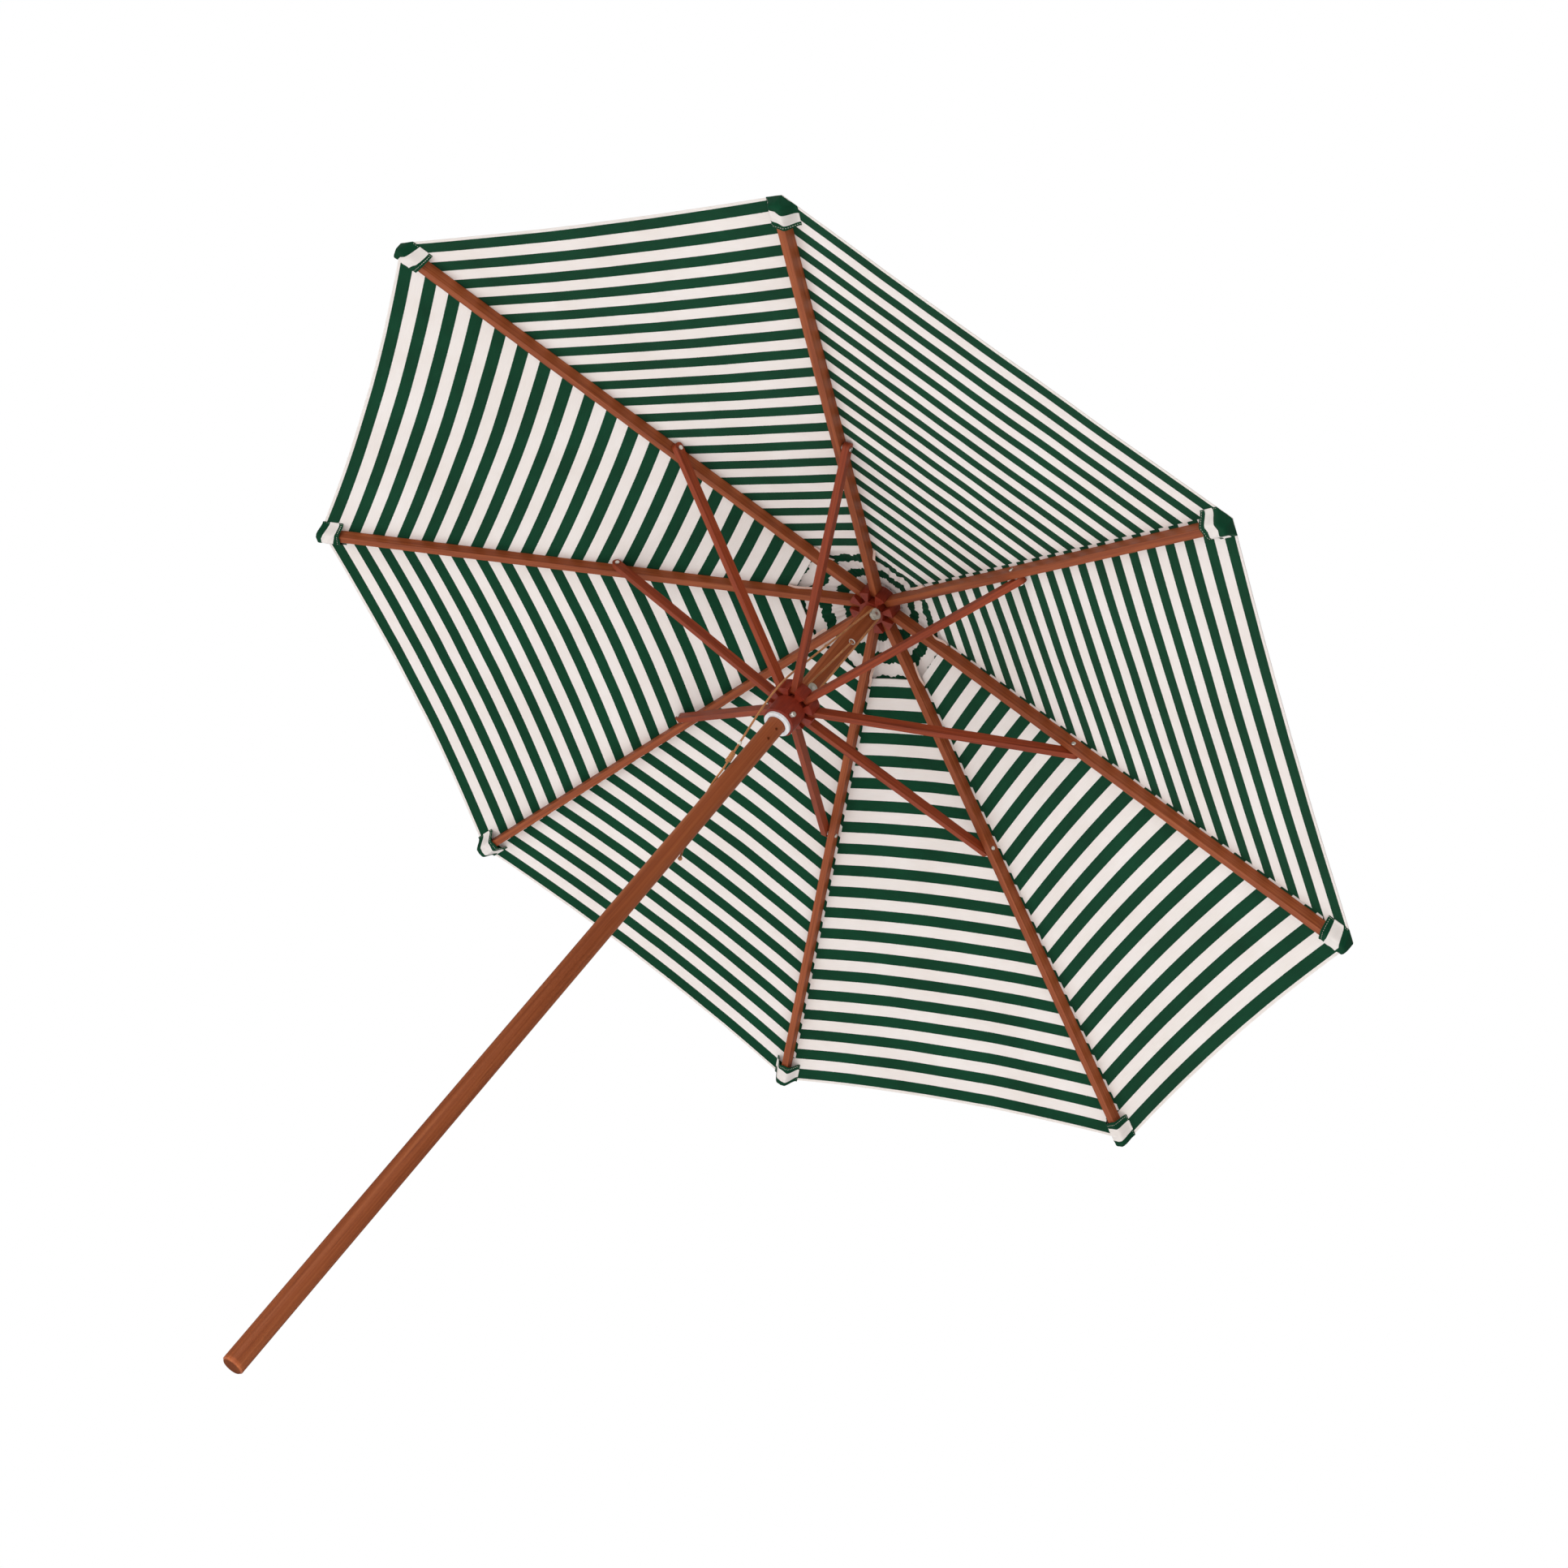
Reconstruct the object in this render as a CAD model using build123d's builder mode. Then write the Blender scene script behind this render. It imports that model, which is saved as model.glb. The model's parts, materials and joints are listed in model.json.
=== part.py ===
# Octagonal wooden beach umbrella, open: pole, crown, sliding runner, eight ribs with their struts,
# vented cloth canopy in rib-centred gores, two rope pulleys and the hoisting rope.
# +Z is up, the origin is the centre of the pole's foot, and the units are millimetres.
from build123d import *
from math import atan2, cos, hypot, pi, radians, sin, tan
import os

os.makedirs("parts", exist_ok=True)

# ---- driving dimensions -------------------------------------------------------------------------
rib_count = 8
canopy_radius = 1150.0  # axis to a corner of the canopy, measured level
rib_angle = 19.05  # slope of an open rib below level, degrees

pole_radius = 19.0
pole_chamfer = 3.0
hinge_height = 2036.0  # crown hinge pins above the foot
pole_top_above_hinge = 14.0
cross_hole_radius = 3.25
cross_hole_drops = (416.0, 446.0)  # below the crown hinges

hinge_inset = 11.5  # hinge pins outside the bottom of their slots, crown and runner alike
hinge_pin_radius = 2.5
hinge_pin_reach = 6.5  # how far a pin goes into the wood each side of its slot
hinge_drop = 5.5  # crown hinge below a rib's centre line
running_gap = 0.05  # radial clearance of a turning joint
slot_gap = 0.5  # side clearance of a rib or strut in its slot
slot_wall = 7.5  # wood between the pole's surface and the bottom of a slot

rib_width = 15.0
rib_height = 22.0
rib_end_gap = 8.0  # rib end to canopy corner, measured level
strut_width = 13.0
strut_height = 18.0
strut_reach = 508.0  # crown hinge to strut pin, along the rib
strut_pin_rise = -2.5  # strut pin above a rib's centre line
strut_overhang = 3.0  # centre of a strut's round end beyond its pin
strut_inner_offset = 3.0  # strut centre line beside the rib's plane, at the runner's hinge
strut_stand = 3.5  # strut beside the rib at the strut pin
strut_pin_radius = 2.5
strut_pin_head = 4.5
strut_pin_head_length = 2.4
spacer_radius = 5.5
spacer_gap = 0.3

hub_rim = 12.0  # hub's edge outside the hinge pins
crown_below = 17.0  # crown's underside below its hinges
rib_clearance = 1.5  # rib's top below the top of the crown's slots
crown_cap = 10.0  # height of the crown's top above its slots
crown_top_radius = 40.0
runner_above = 14.0
runner_below = 16.0
skirt_wall = 14.0  # outside of the runner's skirt from the pole's surface
skirt_drop = 62.0  # bottom of the runner's skirt below its hinges
runner_bore_gap = 1.5  # radial clearance of the runner's wood round the pole
bush_gap = 1.2  # radial clearance of the bush round the pole
bush_wall = 2.8
bush_length = 34.0
bush_flange_reach = 9.0  # edge of the bush's flange from the pole's surface
bush_flange = 7.0
edge_round = 2.0

lock_pin_radius = 3.0
lock_pin_drop = 52.0  # lock pin's axis below the runner's hinges
lock_pin_gap = 0.2
lock_pin_inset = 0.4  # pin's nose inside the bush's wall
lock_knob_radius = 5.5
lock_knob_length = 9.0
lock_knob_stand = 1.5  # knob clear of the skirt

wheel_radius = 11.5
wheel_groove = 9.3
wheel_width = 6.0
wheel_rim = 0.5  # thickness of a flange at its edge
groove_floor = 3.4  # width of the groove at its bottom
axle_radius = 2.0
axle_head = 4.0
axle_head_length = 1.6
bracket_gap = 2.0  # pulley bracket from the pole's surface
bracket_thickness = 2.0
bracket_width = 14.0
bracket_tip_flat = 1.0
crown_wheel_drop = 34.0
runner_wheel_rise = 37.0
wheel_side_gap = 0.4

rope_radius = 2.0
rope_groove_gap = 0.3
eye_drop = 130.0  # rope eye below the crown hinges
eye_radius = 6.0
eye_wire = 1.3
eye_stand = 0.5  # ring clear of the pole
bead_radius = 4.6
knot_radius = 6.2
knot_length = 30.0
rope_end_length = 10.0
end_rounding = 0.6  # fillet of a knot's ends, as a share of its radius
bead_place = 0.45  # bead's share of the last run above the knot
rope_drawn_pole = 19.0  # pole radius that the rope's free points are drawn round

cloth = 1.5
cloth_lift = 1.7  # cloth above a rib's top, at the ridge
gore_gap = 0.4  # between the edges of two gores
vent_radius = 172.0  # axis to a corner of the vent opening
cap_radius = 215.0
cap_inner_radius = 50.0
cap_gap = 3.0  # cap above the canopy at the cap's edge
pocket_length = 40.0
pocket_wall = 1.6
pocket_gap = 0.4
disc_radius = 44.0
wedge_overrun = 1.2  # cutting wedge's length as a share of what it cuts
washer_radius = 22.0
washer_thickness = 2.0
finial_radius = 17.0
finial_height = 46.0
finial_foot = 5.0  # height of the finial's straight foot
finial_neck = 11.0  # height of its narrowest place
finial_neck_radius = 10.0

# ---- worked out ---------------------------------------------------------------------------------
slot_floor = pole_radius + slot_wall
hinge_circle = slot_floor + hinge_inset
hub_radius = hinge_circle + hub_rim
skirt_radius = pole_radius + skirt_wall
runner_bore = pole_radius + runner_bore_gap
bush_bore = pole_radius + bush_gap
bush_flange_radius = pole_radius + bush_flange_reach
lock_pin_nose = bush_bore + lock_pin_inset
bracket_inner = pole_radius + bracket_gap
wheel_seat = bracket_inner + bracket_thickness + wheel_side_gap + wheel_width / 2.0
strut_outer_offset = rib_width / 2.0 + strut_stand + strut_width / 2.0  # at the strut pin
crown_slot_top = hinge_drop + rib_height / 2.0 + rib_clearance
crown_top = crown_slot_top + crown_cap
pitch = 360.0 / rib_count
slope = radians(rib_angle)
pin_offset = hinge_drop + strut_pin_rise
link = hypot(strut_reach, pin_offset)  # crown hinge to strut pin, and strut pin to runner hinge
link_slope = slope - atan2(pin_offset, strut_reach)
runner_height = hinge_height - 2.0 * link * sin(link_slope)
rib_length = (canopy_radius - rib_end_gap - hinge_circle) / cos(slope)
crown_wheel_height = hinge_height - crown_wheel_drop
runner_wheel_height = runner_height + runner_wheel_rise
rope_turn = wheel_groove + rope_groove_gap + rope_radius
half_gore = radians(pitch / 2.0)

# height of the canopy's underside where the ridge line would meet the axis
ridge_base = hinge_height + (hinge_drop + rib_height / 2.0) / cos(slope) + cloth_lift
ridge_apex = ridge_base + hinge_circle * tan(slope)
cap_base = hinge_height + crown_top
cap_edge = ridge_apex - cap_radius * tan(slope) + cloth + cap_gap
cap_slope = (cap_base - cap_edge) / (cap_radius - cap_inner_radius)


def save(part, label):
    part.label = label
    export_step(part, f"parts/{label}.step")


def spoke(index):
    """Vertical plane through rib number index: X outwards, Y up, Z against the sideways offset."""
    turn = radians(index * pitch)
    return Plane(origin=(0, 0, 0), x_dir=(cos(turn), sin(turn), 0), z_dir=(sin(turn), -cos(turn), 0))


def pyramid(apex, fall, inner, outer):
    """Closed octagonal shell of cloth: underside through apex on the axis, falling fall per unit."""
    low = apex - fall * outer
    with BuildPart() as shell:
        with BuildSketch(Plane.XY.offset(low)):
            RegularPolygon(outer, rib_count)
        with BuildSketch(Plane.XY.offset(low + cloth)):
            RegularPolygon(outer, rib_count)
        loft()
        with BuildSketch(Plane.XY.offset(low + cloth)):
            RegularPolygon(outer, rib_count)
        with BuildSketch(Plane.XY.offset(apex + cloth - fall * inner)):
            RegularPolygon(inner, rib_count)
        loft()
        with BuildSketch(Plane.XY.offset(low - cloth)):
            RegularPolygon(outer + cloth / fall, rib_count)
        with BuildSketch(Plane.XY.offset(apex - fall * inner)):
            RegularPolygon(inner, rib_count)
        loft(mode=Mode.SUBTRACT)
        with BuildSketch(Plane.XY.offset(low - cloth)):
            RegularPolygon(inner, rib_count)
        extrude(amount=apex + 2.0 * cloth - low, mode=Mode.SUBTRACT)
    return shell.part


def gore_wedge(index, reach):
    """Upright wedge of the ground plan that belongs to rib number index, less half the edge gap."""
    turn = radians(index * pitch)
    start = gore_gap / 2.0 / sin(half_gore)
    far = reach * wedge_overrun
    corners = [
        (start * cos(turn), start * sin(turn)),
        (start * cos(turn) + far * cos(turn - half_gore), start * sin(turn) + far * sin(turn - half_gore)),
        (start * cos(turn) + far * cos(turn + half_gore), start * sin(turn) + far * sin(turn + half_gore)),
    ]
    with BuildSketch(Plane.XY.offset(hinge_height - reach)) as wedge:
        Polygon(*corners, align=None)
    return wedge.sketch


# ---- pole ---------------------------------------------------------------------------------------
with BuildPart() as pole:
    with BuildSketch():
        Circle(pole_radius)
    extrude(amount=hinge_height + pole_top_above_hinge)
    chamfer(pole.edges().filter_by(GeomType.CIRCLE), pole_chamfer)
    hole_heights = [hinge_height - drop for drop in cross_hole_drops] + [runner_height - lock_pin_drop]
    with BuildSketch(Plane.XZ.offset(-2.0 * pole_radius)):
        with Locations([(0, height) for height in hole_heights]):
            Circle(cross_hole_radius)
    extrude(amount=4.0 * pole_radius, mode=Mode.SUBTRACT)
save(pole.part, "pole")

# ---- crown: eight slots between lugs, closed over the pole's top --------------------------------
crown_slot = rib_width / 2.0 + slot_gap
with BuildPart() as crown:
    with BuildSketch(Plane.XY.offset(hinge_height - crown_below)):
        Circle(hub_radius)
    extrude(amount=crown_below + crown_slot_top)
    with BuildSketch(Plane.XY.offset(hinge_height + crown_slot_top)):
        Circle(crown_top_radius)
    extrude(amount=crown_top - crown_slot_top)
    fillet(crown.edges().filter_by(GeomType.CIRCLE).group_by(Axis.Z)[-1], edge_round)
    with BuildSketch(Plane.XY.offset(hinge_height - crown_below)):
        with PolarLocations(0, rib_count):
            with Locations((slot_floor + hub_radius / 2.0, 0)):
                Rectangle(hub_radius, 2.0 * crown_slot)
    extrude(amount=crown_below + crown_slot_top, mode=Mode.SUBTRACT)
    with BuildSketch(Plane.XY.offset(hinge_height - crown_below)):
        Circle(pole_radius)
    extrude(amount=crown_below + pole_top_above_hinge, mode=Mode.SUBTRACT)
    for index in range(rib_count):
        with BuildSketch(spoke(index)):
            with Locations((hinge_circle, hinge_height)):
                Circle(hinge_pin_radius)
        extrude(amount=crown_slot + hinge_pin_reach, both=True, mode=Mode.SUBTRACT)
save(crown.part, "crown")

with BuildPart() as crown_pins:
    for index in range(rib_count):
        with BuildSketch(spoke(index)):
            with Locations((hinge_circle, hinge_height)):
                Circle(hinge_pin_radius)
        extrude(amount=crown_slot + hinge_pin_reach, both=True)
save(crown_pins.part, "crown_pins")

# ---- runner: lugs above, skirt below, nylon bush in the bottom ----------------------------------
runner_slot = strut_width / 2.0 + slot_gap
runner_pin_middle = strut_inner_offset
with BuildPart() as runner:
    with BuildSketch(Plane.XY.offset(runner_height - runner_below)):
        Circle(hub_radius)
    extrude(amount=runner_below + runner_above)
    with BuildSketch(Plane.XY.offset(runner_height - skirt_drop)):
        Circle(skirt_radius)
    extrude(amount=skirt_drop - runner_below)
    fillet(runner.edges().filter_by(GeomType.CIRCLE).group_by(Axis.Z)[0], edge_round)
    with BuildSketch(Plane.XY.offset(runner_height - runner_below)):
        with PolarLocations(0, rib_count):
            with Locations((slot_floor + hub_radius / 2.0, runner_pin_middle)):
                Rectangle(hub_radius, 2.0 * runner_slot)
    extrude(amount=runner_below + runner_above, mode=Mode.SUBTRACT)
    with BuildSketch(Plane.XY.offset(runner_height - skirt_drop)):
        Circle(runner_bore)
    extrude(amount=skirt_drop + runner_above, mode=Mode.SUBTRACT)
    with BuildSketch(Plane.XY.offset(runner_height - skirt_drop)):
        Circle(bush_bore + bush_wall)
    extrude(amount=bush_length, mode=Mode.SUBTRACT)
    for index in range(rib_count):
        with BuildSketch(spoke(index).offset(-runner_pin_middle)):
            with Locations((hinge_circle, runner_height)):
                Circle(hinge_pin_radius)
        extrude(amount=runner_slot + hinge_pin_reach, both=True, mode=Mode.SUBTRACT)
    with BuildSketch(Plane.XZ):
        with Locations((0, runner_height - lock_pin_drop)):
            Circle(lock_pin_radius + lock_pin_gap)
    extrude(amount=hub_radius, mode=Mode.SUBTRACT)
save(runner.part, "runner")

with BuildPart() as runner_pins:
    for index in range(rib_count):
        with BuildSketch(spoke(index).offset(-runner_pin_middle)):
            with Locations((hinge_circle, runner_height)):
                Circle(hinge_pin_radius)
        extrude(amount=runner_slot + hinge_pin_reach, both=True)
save(runner_pins.part, "runner_pins")

with BuildPart() as runner_bush:
    with BuildSketch(Plane.XY.offset(runner_height - skirt_drop - bush_flange)):
        Circle(bush_flange_radius)
    extrude(amount=bush_flange)
    chamfer(runner_bush.edges().group_by(Axis.Z)[0], edge_round / 2.0)
    with BuildSketch(Plane.XY.offset(runner_height - skirt_drop)):
        Circle(bush_bore + bush_wall)
    extrude(amount=bush_length)
    with BuildSketch(Plane.XY.offset(runner_height - skirt_drop - bush_flange)):
        Circle(bush_bore)
    extrude(amount=bush_flange + bush_length, mode=Mode.SUBTRACT)
    with BuildSketch(Plane.XZ):
        with Locations((0, runner_height - lock_pin_drop)):
            Circle(lock_pin_radius + lock_pin_gap)
    extrude(amount=hub_radius, mode=Mode.SUBTRACT)
save(runner_bush.part, "runner_bush")

# lock pin: drawn back so that its nose stands inside the bush, clear of the pole
with BuildPart() as lock_pin:
    with BuildSketch(Plane.XZ.offset(lock_pin_nose)):
        with Locations((0, runner_height - lock_pin_drop)):
            Circle(lock_pin_radius)
    extrude(amount=skirt_radius + lock_knob_stand - lock_pin_nose)
    with BuildSketch(Plane.XZ.offset(skirt_radius + lock_knob_stand)):
        with Locations((0, runner_height - lock_pin_drop)):
            Circle(lock_knob_radius)
    extrude(amount=lock_knob_length)
    fillet(lock_pin.edges().filter_by(GeomType.CIRCLE).group_by(Axis.Y)[0], edge_round)
save(lock_pin.part, "lock_pin")


# ---- pulleys: a grooved wheel on the axle of a flat bracket, in front of the pole ---------------
def wheel_profile():
    half = wheel_width / 2.0
    return [
        (axle_radius + running_gap, -half),
        (wheel_radius, -half),
        (wheel_radius, -half + wheel_rim),
        (wheel_groove, -groove_floor / 2.0),
        (wheel_groove, groove_floor / 2.0),
        (wheel_radius, half - wheel_rim),
        (wheel_radius, half),
        (axle_radius + running_gap, half),
    ]


def pulley(height):
    """Wheel whose axle points along -Y, in front of the pole."""
    seat = Plane(origin=(0, -wheel_seat, height), x_dir=(1, 0, 0), z_dir=(0, 0, 1))
    with BuildPart() as wheel:
        with BuildSketch(seat):
            with BuildLine():
                Polyline(*wheel_profile(), close=True)
            make_face()
        revolve(axis=Axis((0, -wheel_seat, height), (0, 1, 0)))
    return wheel.part


def pulley_mount(height, base):
    """Flat bracket from base to beyond the wheel, with a riveted axle."""
    tip = height + (wheel_radius if height > base else -wheel_radius)
    with BuildPart() as mount:
        with BuildSketch(Plane.XZ.offset(bracket_inner)):
            with Locations((0, (base + tip) / 2.0)):
                Rectangle(bracket_width, abs(tip - base))
        extrude(amount=bracket_thickness)
        far_edges = mount.edges().filter_by(Axis.Y).group_by(Axis.Z)[-1 if height > base else 0]
        fillet(far_edges, bracket_width / 2.0 - bracket_tip_flat / 2.0)
        with BuildSketch(Plane.XZ.offset(bracket_inner)):
            with Locations((0, height)):
                Circle(axle_radius)
        extrude(amount=wheel_seat + wheel_width / 2.0 + wheel_side_gap - bracket_inner)
        with BuildSketch(Plane.XZ.offset(wheel_seat + wheel_width / 2.0 + wheel_side_gap)):
            with Locations((0, height)):
                Circle(axle_head)
        extrude(amount=axle_head_length)
    return mount.part


save(pulley(crown_wheel_height), "crown_pulley")
save(pulley_mount(crown_wheel_height, hinge_height - crown_below), "crown_pulley_mount")
save(pulley(runner_wheel_height), "runner_pulley")
save(pulley_mount(runner_wheel_height, runner_height + runner_above), "runner_pulley_mount")

# ---- rope eye: a ring of wire on a shank in the pole --------------------------------------------
eye_height = hinge_height - eye_drop
eye_middle = pole_radius + eye_radius + eye_wire + eye_stand
with BuildPart() as rope_eye:
    with BuildSketch(Plane(origin=(0, -eye_middle, eye_height), x_dir=(0, -1, 0), z_dir=(1, 0, 0))):
        with Locations((eye_radius, 0)):
            Circle(eye_wire)
    revolve(axis=Axis((0, -eye_middle, eye_height), (0, 0, 1)))
    with BuildSketch(Plane.XZ.offset(pole_radius)):
        with Locations((0, eye_height)):
            Circle(eye_wire)
    extrude(amount=eye_stand + eye_wire)
save(rope_eye.part, "rope_eye")


# ---- ribs and struts ----------------------------------------------------------------------------
def tangential(index):
    turn = radians(index * pitch)
    return Vector(-sin(turn), cos(turn), 0)


def rib_plane(index):
    """Side view of a rib: origin at its crown hinge, X along the rib, Y square to it, upwards."""
    turn = radians(index * pitch)
    outward = Vector(cos(turn), sin(turn), 0)
    along = outward * cos(slope) - Vector(0, 0, 1) * sin(slope)
    origin = outward * hinge_circle + Vector(0, 0, hinge_height)
    return Plane(origin=origin, x_dir=along, z_dir=-tangential(index))


def strut_plane(index):
    """Side view of a strut: origin at its runner hinge, X along the strut."""
    turn = radians(index * pitch)
    outward = Vector(cos(turn), sin(turn), 0)
    side = tangential(index)
    inner = outward * hinge_circle + side * strut_inner_offset + Vector(0, 0, runner_height)
    outer = outward * (hinge_circle + link * cos(link_slope)) + side * strut_outer_offset
    outer = outer + Vector(0, 0, runner_height + link * sin(link_slope))
    along = (outer - inner).normalized()
    normal = (side - along * side.dot(along)).normalized()
    return Plane(origin=inner, x_dir=along, z_dir=-normal)


strut_length = hypot(link, strut_outer_offset - strut_inner_offset)
pin_point = (strut_reach, pin_offset)
strut_face = strut_outer_offset - strut_width / 2.0  # strut's near face beside the rib's plane

for index in range(rib_count):
    side_view = rib_plane(index)
    with BuildPart() as rib:
        with BuildSketch(side_view):
            with Locations((rib_length / 2.0, hinge_drop)):
                Rectangle(rib_length, rib_height)
            with Locations((0, hinge_drop)):
                Circle(rib_height / 2.0)
        extrude(amount=rib_width / 2.0, both=True)
        with BuildSketch(side_view):
            Circle(hinge_pin_radius + running_gap)
            with Locations(pin_point):
                Circle(strut_pin_radius)
        extrude(amount=rib_width, both=True, mode=Mode.SUBTRACT)
    save(rib.part, f"rib_{index + 1}")

    with BuildPart() as strut:
        with BuildSketch(strut_plane(index)):
            with Locations(((strut_length + strut_overhang) / 2.0, 0)):
                SlotCenterToCenter(strut_length + strut_overhang, strut_height)
        extrude(amount=strut_width / 2.0, both=True)
        with BuildSketch(spoke(index)):
            with Locations((hinge_circle, runner_height)):
                Circle(hinge_pin_radius + running_gap)
        extrude(amount=hub_radius, both=True, mode=Mode.SUBTRACT)
        with BuildSketch(side_view):
            with Locations(pin_point):
                Circle(strut_pin_radius + running_gap)
        extrude(amount=hub_radius, both=True, mode=Mode.SUBTRACT)
    save(strut.part, f"strut_{index + 1}")

    with BuildPart() as strut_pin:
        with BuildSketch(side_view.offset(rib_width / 2.0)):
            with Locations(pin_point):
                Circle(strut_pin_head)
        extrude(amount=strut_pin_head_length)
        fillet(strut_pin.edges().filter_by(GeomType.CIRCLE).sort_by_distance(
            side_view.from_local_coords((*pin_point, 2.0 * rib_width)))[0], strut_pin_head_length / 2.0)
        with BuildSketch(side_view.offset(rib_width / 2.0)):
            with Locations(pin_point):
                Circle(strut_pin_radius)
        extrude(amount=-(rib_width / 2.0 + strut_outer_offset + strut_width / 2.0 + 2.0 * spacer_gap))
        with BuildSketch(side_view.offset(-rib_width / 2.0)):
            with Locations(pin_point):
                Circle(spacer_radius)
        extrude(amount=-(strut_face - rib_width / 2.0 - spacer_gap))
        with BuildSketch(side_view.offset(-(strut_outer_offset + strut_width / 2.0 + spacer_gap))):
            with Locations(pin_point):
                Circle(strut_pin_head)
        extrude(amount=-strut_pin_head_length)
    save(strut_pin.part, f"strut_pin_{index + 1}")

# ---- canopy and vent cap, in gores centred on the ribs ------------------------------------------
canopy_shell = pyramid(ridge_apex, tan(slope), vent_radius, canopy_radius)
cap_shell = pyramid(cap_base + cap_slope * cap_inner_radius, cap_slope, cap_inner_radius, cap_radius)
pocket_half = rib_width / 2.0 + pocket_gap + pocket_wall
pocket_low = hinge_drop - rib_height / 2.0 - pocket_gap - pocket_wall
pocket_high = hinge_drop + rib_height / 2.0 + cloth_lift * cos(slope) + cloth / 2.0
hollow_low = hinge_drop - rib_height / 2.0 - pocket_gap
hollow_high = hinge_drop + rib_height / 2.0 + pocket_gap
for index in range(rib_count):
    side_view = rib_plane(index)
    with BuildPart() as canopy:
        add(canopy_shell)
        add(gore_wedge(index, canopy_radius))
        extrude(amount=2.0 * canopy_radius, mode=Mode.INTERSECT)
        with BuildSketch(side_view):
            with Locations((rib_length + pocket_gap + pocket_wall, pocket_low)):
                Rectangle(pocket_length, pocket_high - pocket_low, align=(Align.MAX, Align.MIN))
        extrude(amount=pocket_half, both=True)
        with BuildSketch(side_view):
            with Locations((rib_length + pocket_gap, hollow_low)):
                Rectangle(2.0 * pocket_length, hollow_high - hollow_low, align=(Align.MAX, Align.MIN))
        extrude(amount=pocket_half - pocket_wall, both=True, mode=Mode.SUBTRACT)
    save(canopy.part, f"canopy_{index + 1}")

    with BuildPart() as cap:
        add(cap_shell)
        add(gore_wedge(index, canopy_radius))
        extrude(amount=2.0 * canopy_radius, mode=Mode.INTERSECT)
    save(cap.part, f"vent_cap_{index + 1}")

# ---- the cap's middle, washer and finial on top of the crown ------------------------------------
with BuildPart() as cap_middle:
    with BuildSketch(Plane.XY.offset(cap_base)):
        Circle(disc_radius)
    extrude(amount=cloth)
save(cap_middle.part, "cap_middle")

washer_height = cap_base + cloth
with BuildPart() as cap_washer:
    with BuildSketch(Plane.XY.offset(washer_height)):
        Circle(washer_radius)
    extrude(amount=washer_thickness)
save(cap_washer.part, "cap_washer")

finial_base = washer_height + washer_thickness
ball_radius = finial_radius - 2.0
ball_middle = finial_height - ball_radius
with BuildPart() as finial:
    with BuildSketch(Plane.XZ):
        with BuildLine():
            ball = CenterArc((0, finial_base + ball_middle), ball_radius, -50, 140)
            base_edge = Line((0, finial_base), (finial_radius, finial_base))
            side = Line(base_edge @ 1, (finial_radius, finial_base + finial_foot))
            ThreePointArc(side @ 1, (finial_neck_radius, finial_base + finial_neck), ball @ 0)
            Line(ball @ 1, base_edge @ 0)
        make_face()
    revolve(axis=Axis.Z)
save(finial.part, "finial")


# ---- rope ---------------------------------------------------------------------------------------
def route_radii(points):
    """Largest tangent arcs that share each run: 0.45 of the shorter run over the half turn."""
    radii = []
    for before, here, after in zip(points, points[1:], points[2:]):
        arriving = here - before
        leaving = after - here
        turn = radians(arriving.get_angle(leaving))
        radii.append(0.45 * min(arriving.length, leaving.length) / tan(turn / 2.0))
    return radii


def rope_tube(label, points, radii):
    with BuildPart() as tube:
        with BuildLine() as path:
            FilletPolyline(*points, radius=radii)
        start = path.wires()[0]
        with BuildSketch(Plane(origin=start @ 0, z_dir=start % 0)):
            Circle(rope_radius)
        sweep(path=start)
    expected = pi * rope_radius**2 * start.length
    print(label, "length", round(start.length, 1), "radii", [round(r, 1) for r in radii],
          "volume ratio", round(tube.part.volume / expected, 4))
    save(tube.part, label)


def below(x, y, drop):
    """Point of the rope, given how far it is below the crown hinges."""
    return Vector(x, y, hinge_height - drop)


def beside(x, y, drop):
    """Free point of the rope, which stands further out round a thicker pole."""
    spread = pole_radius / rope_drawn_pole
    return below(x * spread, y * spread, drop)


# from the eye, under the runner's wheel, over the crown's wheel and down to the bead and knot;
# a corner beside a wheel stands where an arc round the wheel's centre meets the leaning strand
under = hinge_height - runner_wheel_height + rope_turn
over = crown_wheel_drop - rope_turn
rope_start = below(-1, -wheel_seat - 4.0, eye_drop + eye_wire + rope_radius)
hand_strand = beside(-45, -28, 258)
right_angle = pi / 2.0
eye_lean = atan2(rope_turn + rope_start.X, under - eye_drop)
hand_lean = atan2(-rope_turn - hand_strand.X, hinge_height - hand_strand.Z - over)
fall_points = [
    rope_start,
    below(-rope_turn * tan((right_angle + eye_lean) / 2.0), -wheel_seat, under),
    below(rope_turn, -wheel_seat, under),
    below(rope_turn, -wheel_seat, over),
    below(-rope_turn * tan((right_angle - hand_lean) / 2.0), -wheel_seat, over),
    hand_strand,
    beside(-55, -29, 318),
    beside(-55, -25, 374),
    beside(-47, -17, 430),
    beside(-38, -11, 484),
    beside(-32, -8, 522),
]
wheel_arc = rope_turn * 0.98  # leaves a short straight run between two arcs of one wheel
fall_radii = [wheel_arc] * 4 + route_radii(fall_points[4:])
rope_tube("hoist_rope", fall_points, fall_radii)

knot_start = fall_points[-1]
knot_axis = (fall_points[-1] - fall_points[-2]).normalized()
with BuildPart() as rope_knot:
    with BuildSketch(Plane(origin=knot_start, z_dir=knot_axis)):
        Circle(knot_radius)
    extrude(amount=knot_length)
    fillet(rope_knot.edges().filter_by(GeomType.CIRCLE), knot_radius * end_rounding)
save(rope_knot.part, "rope_knot")

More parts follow.
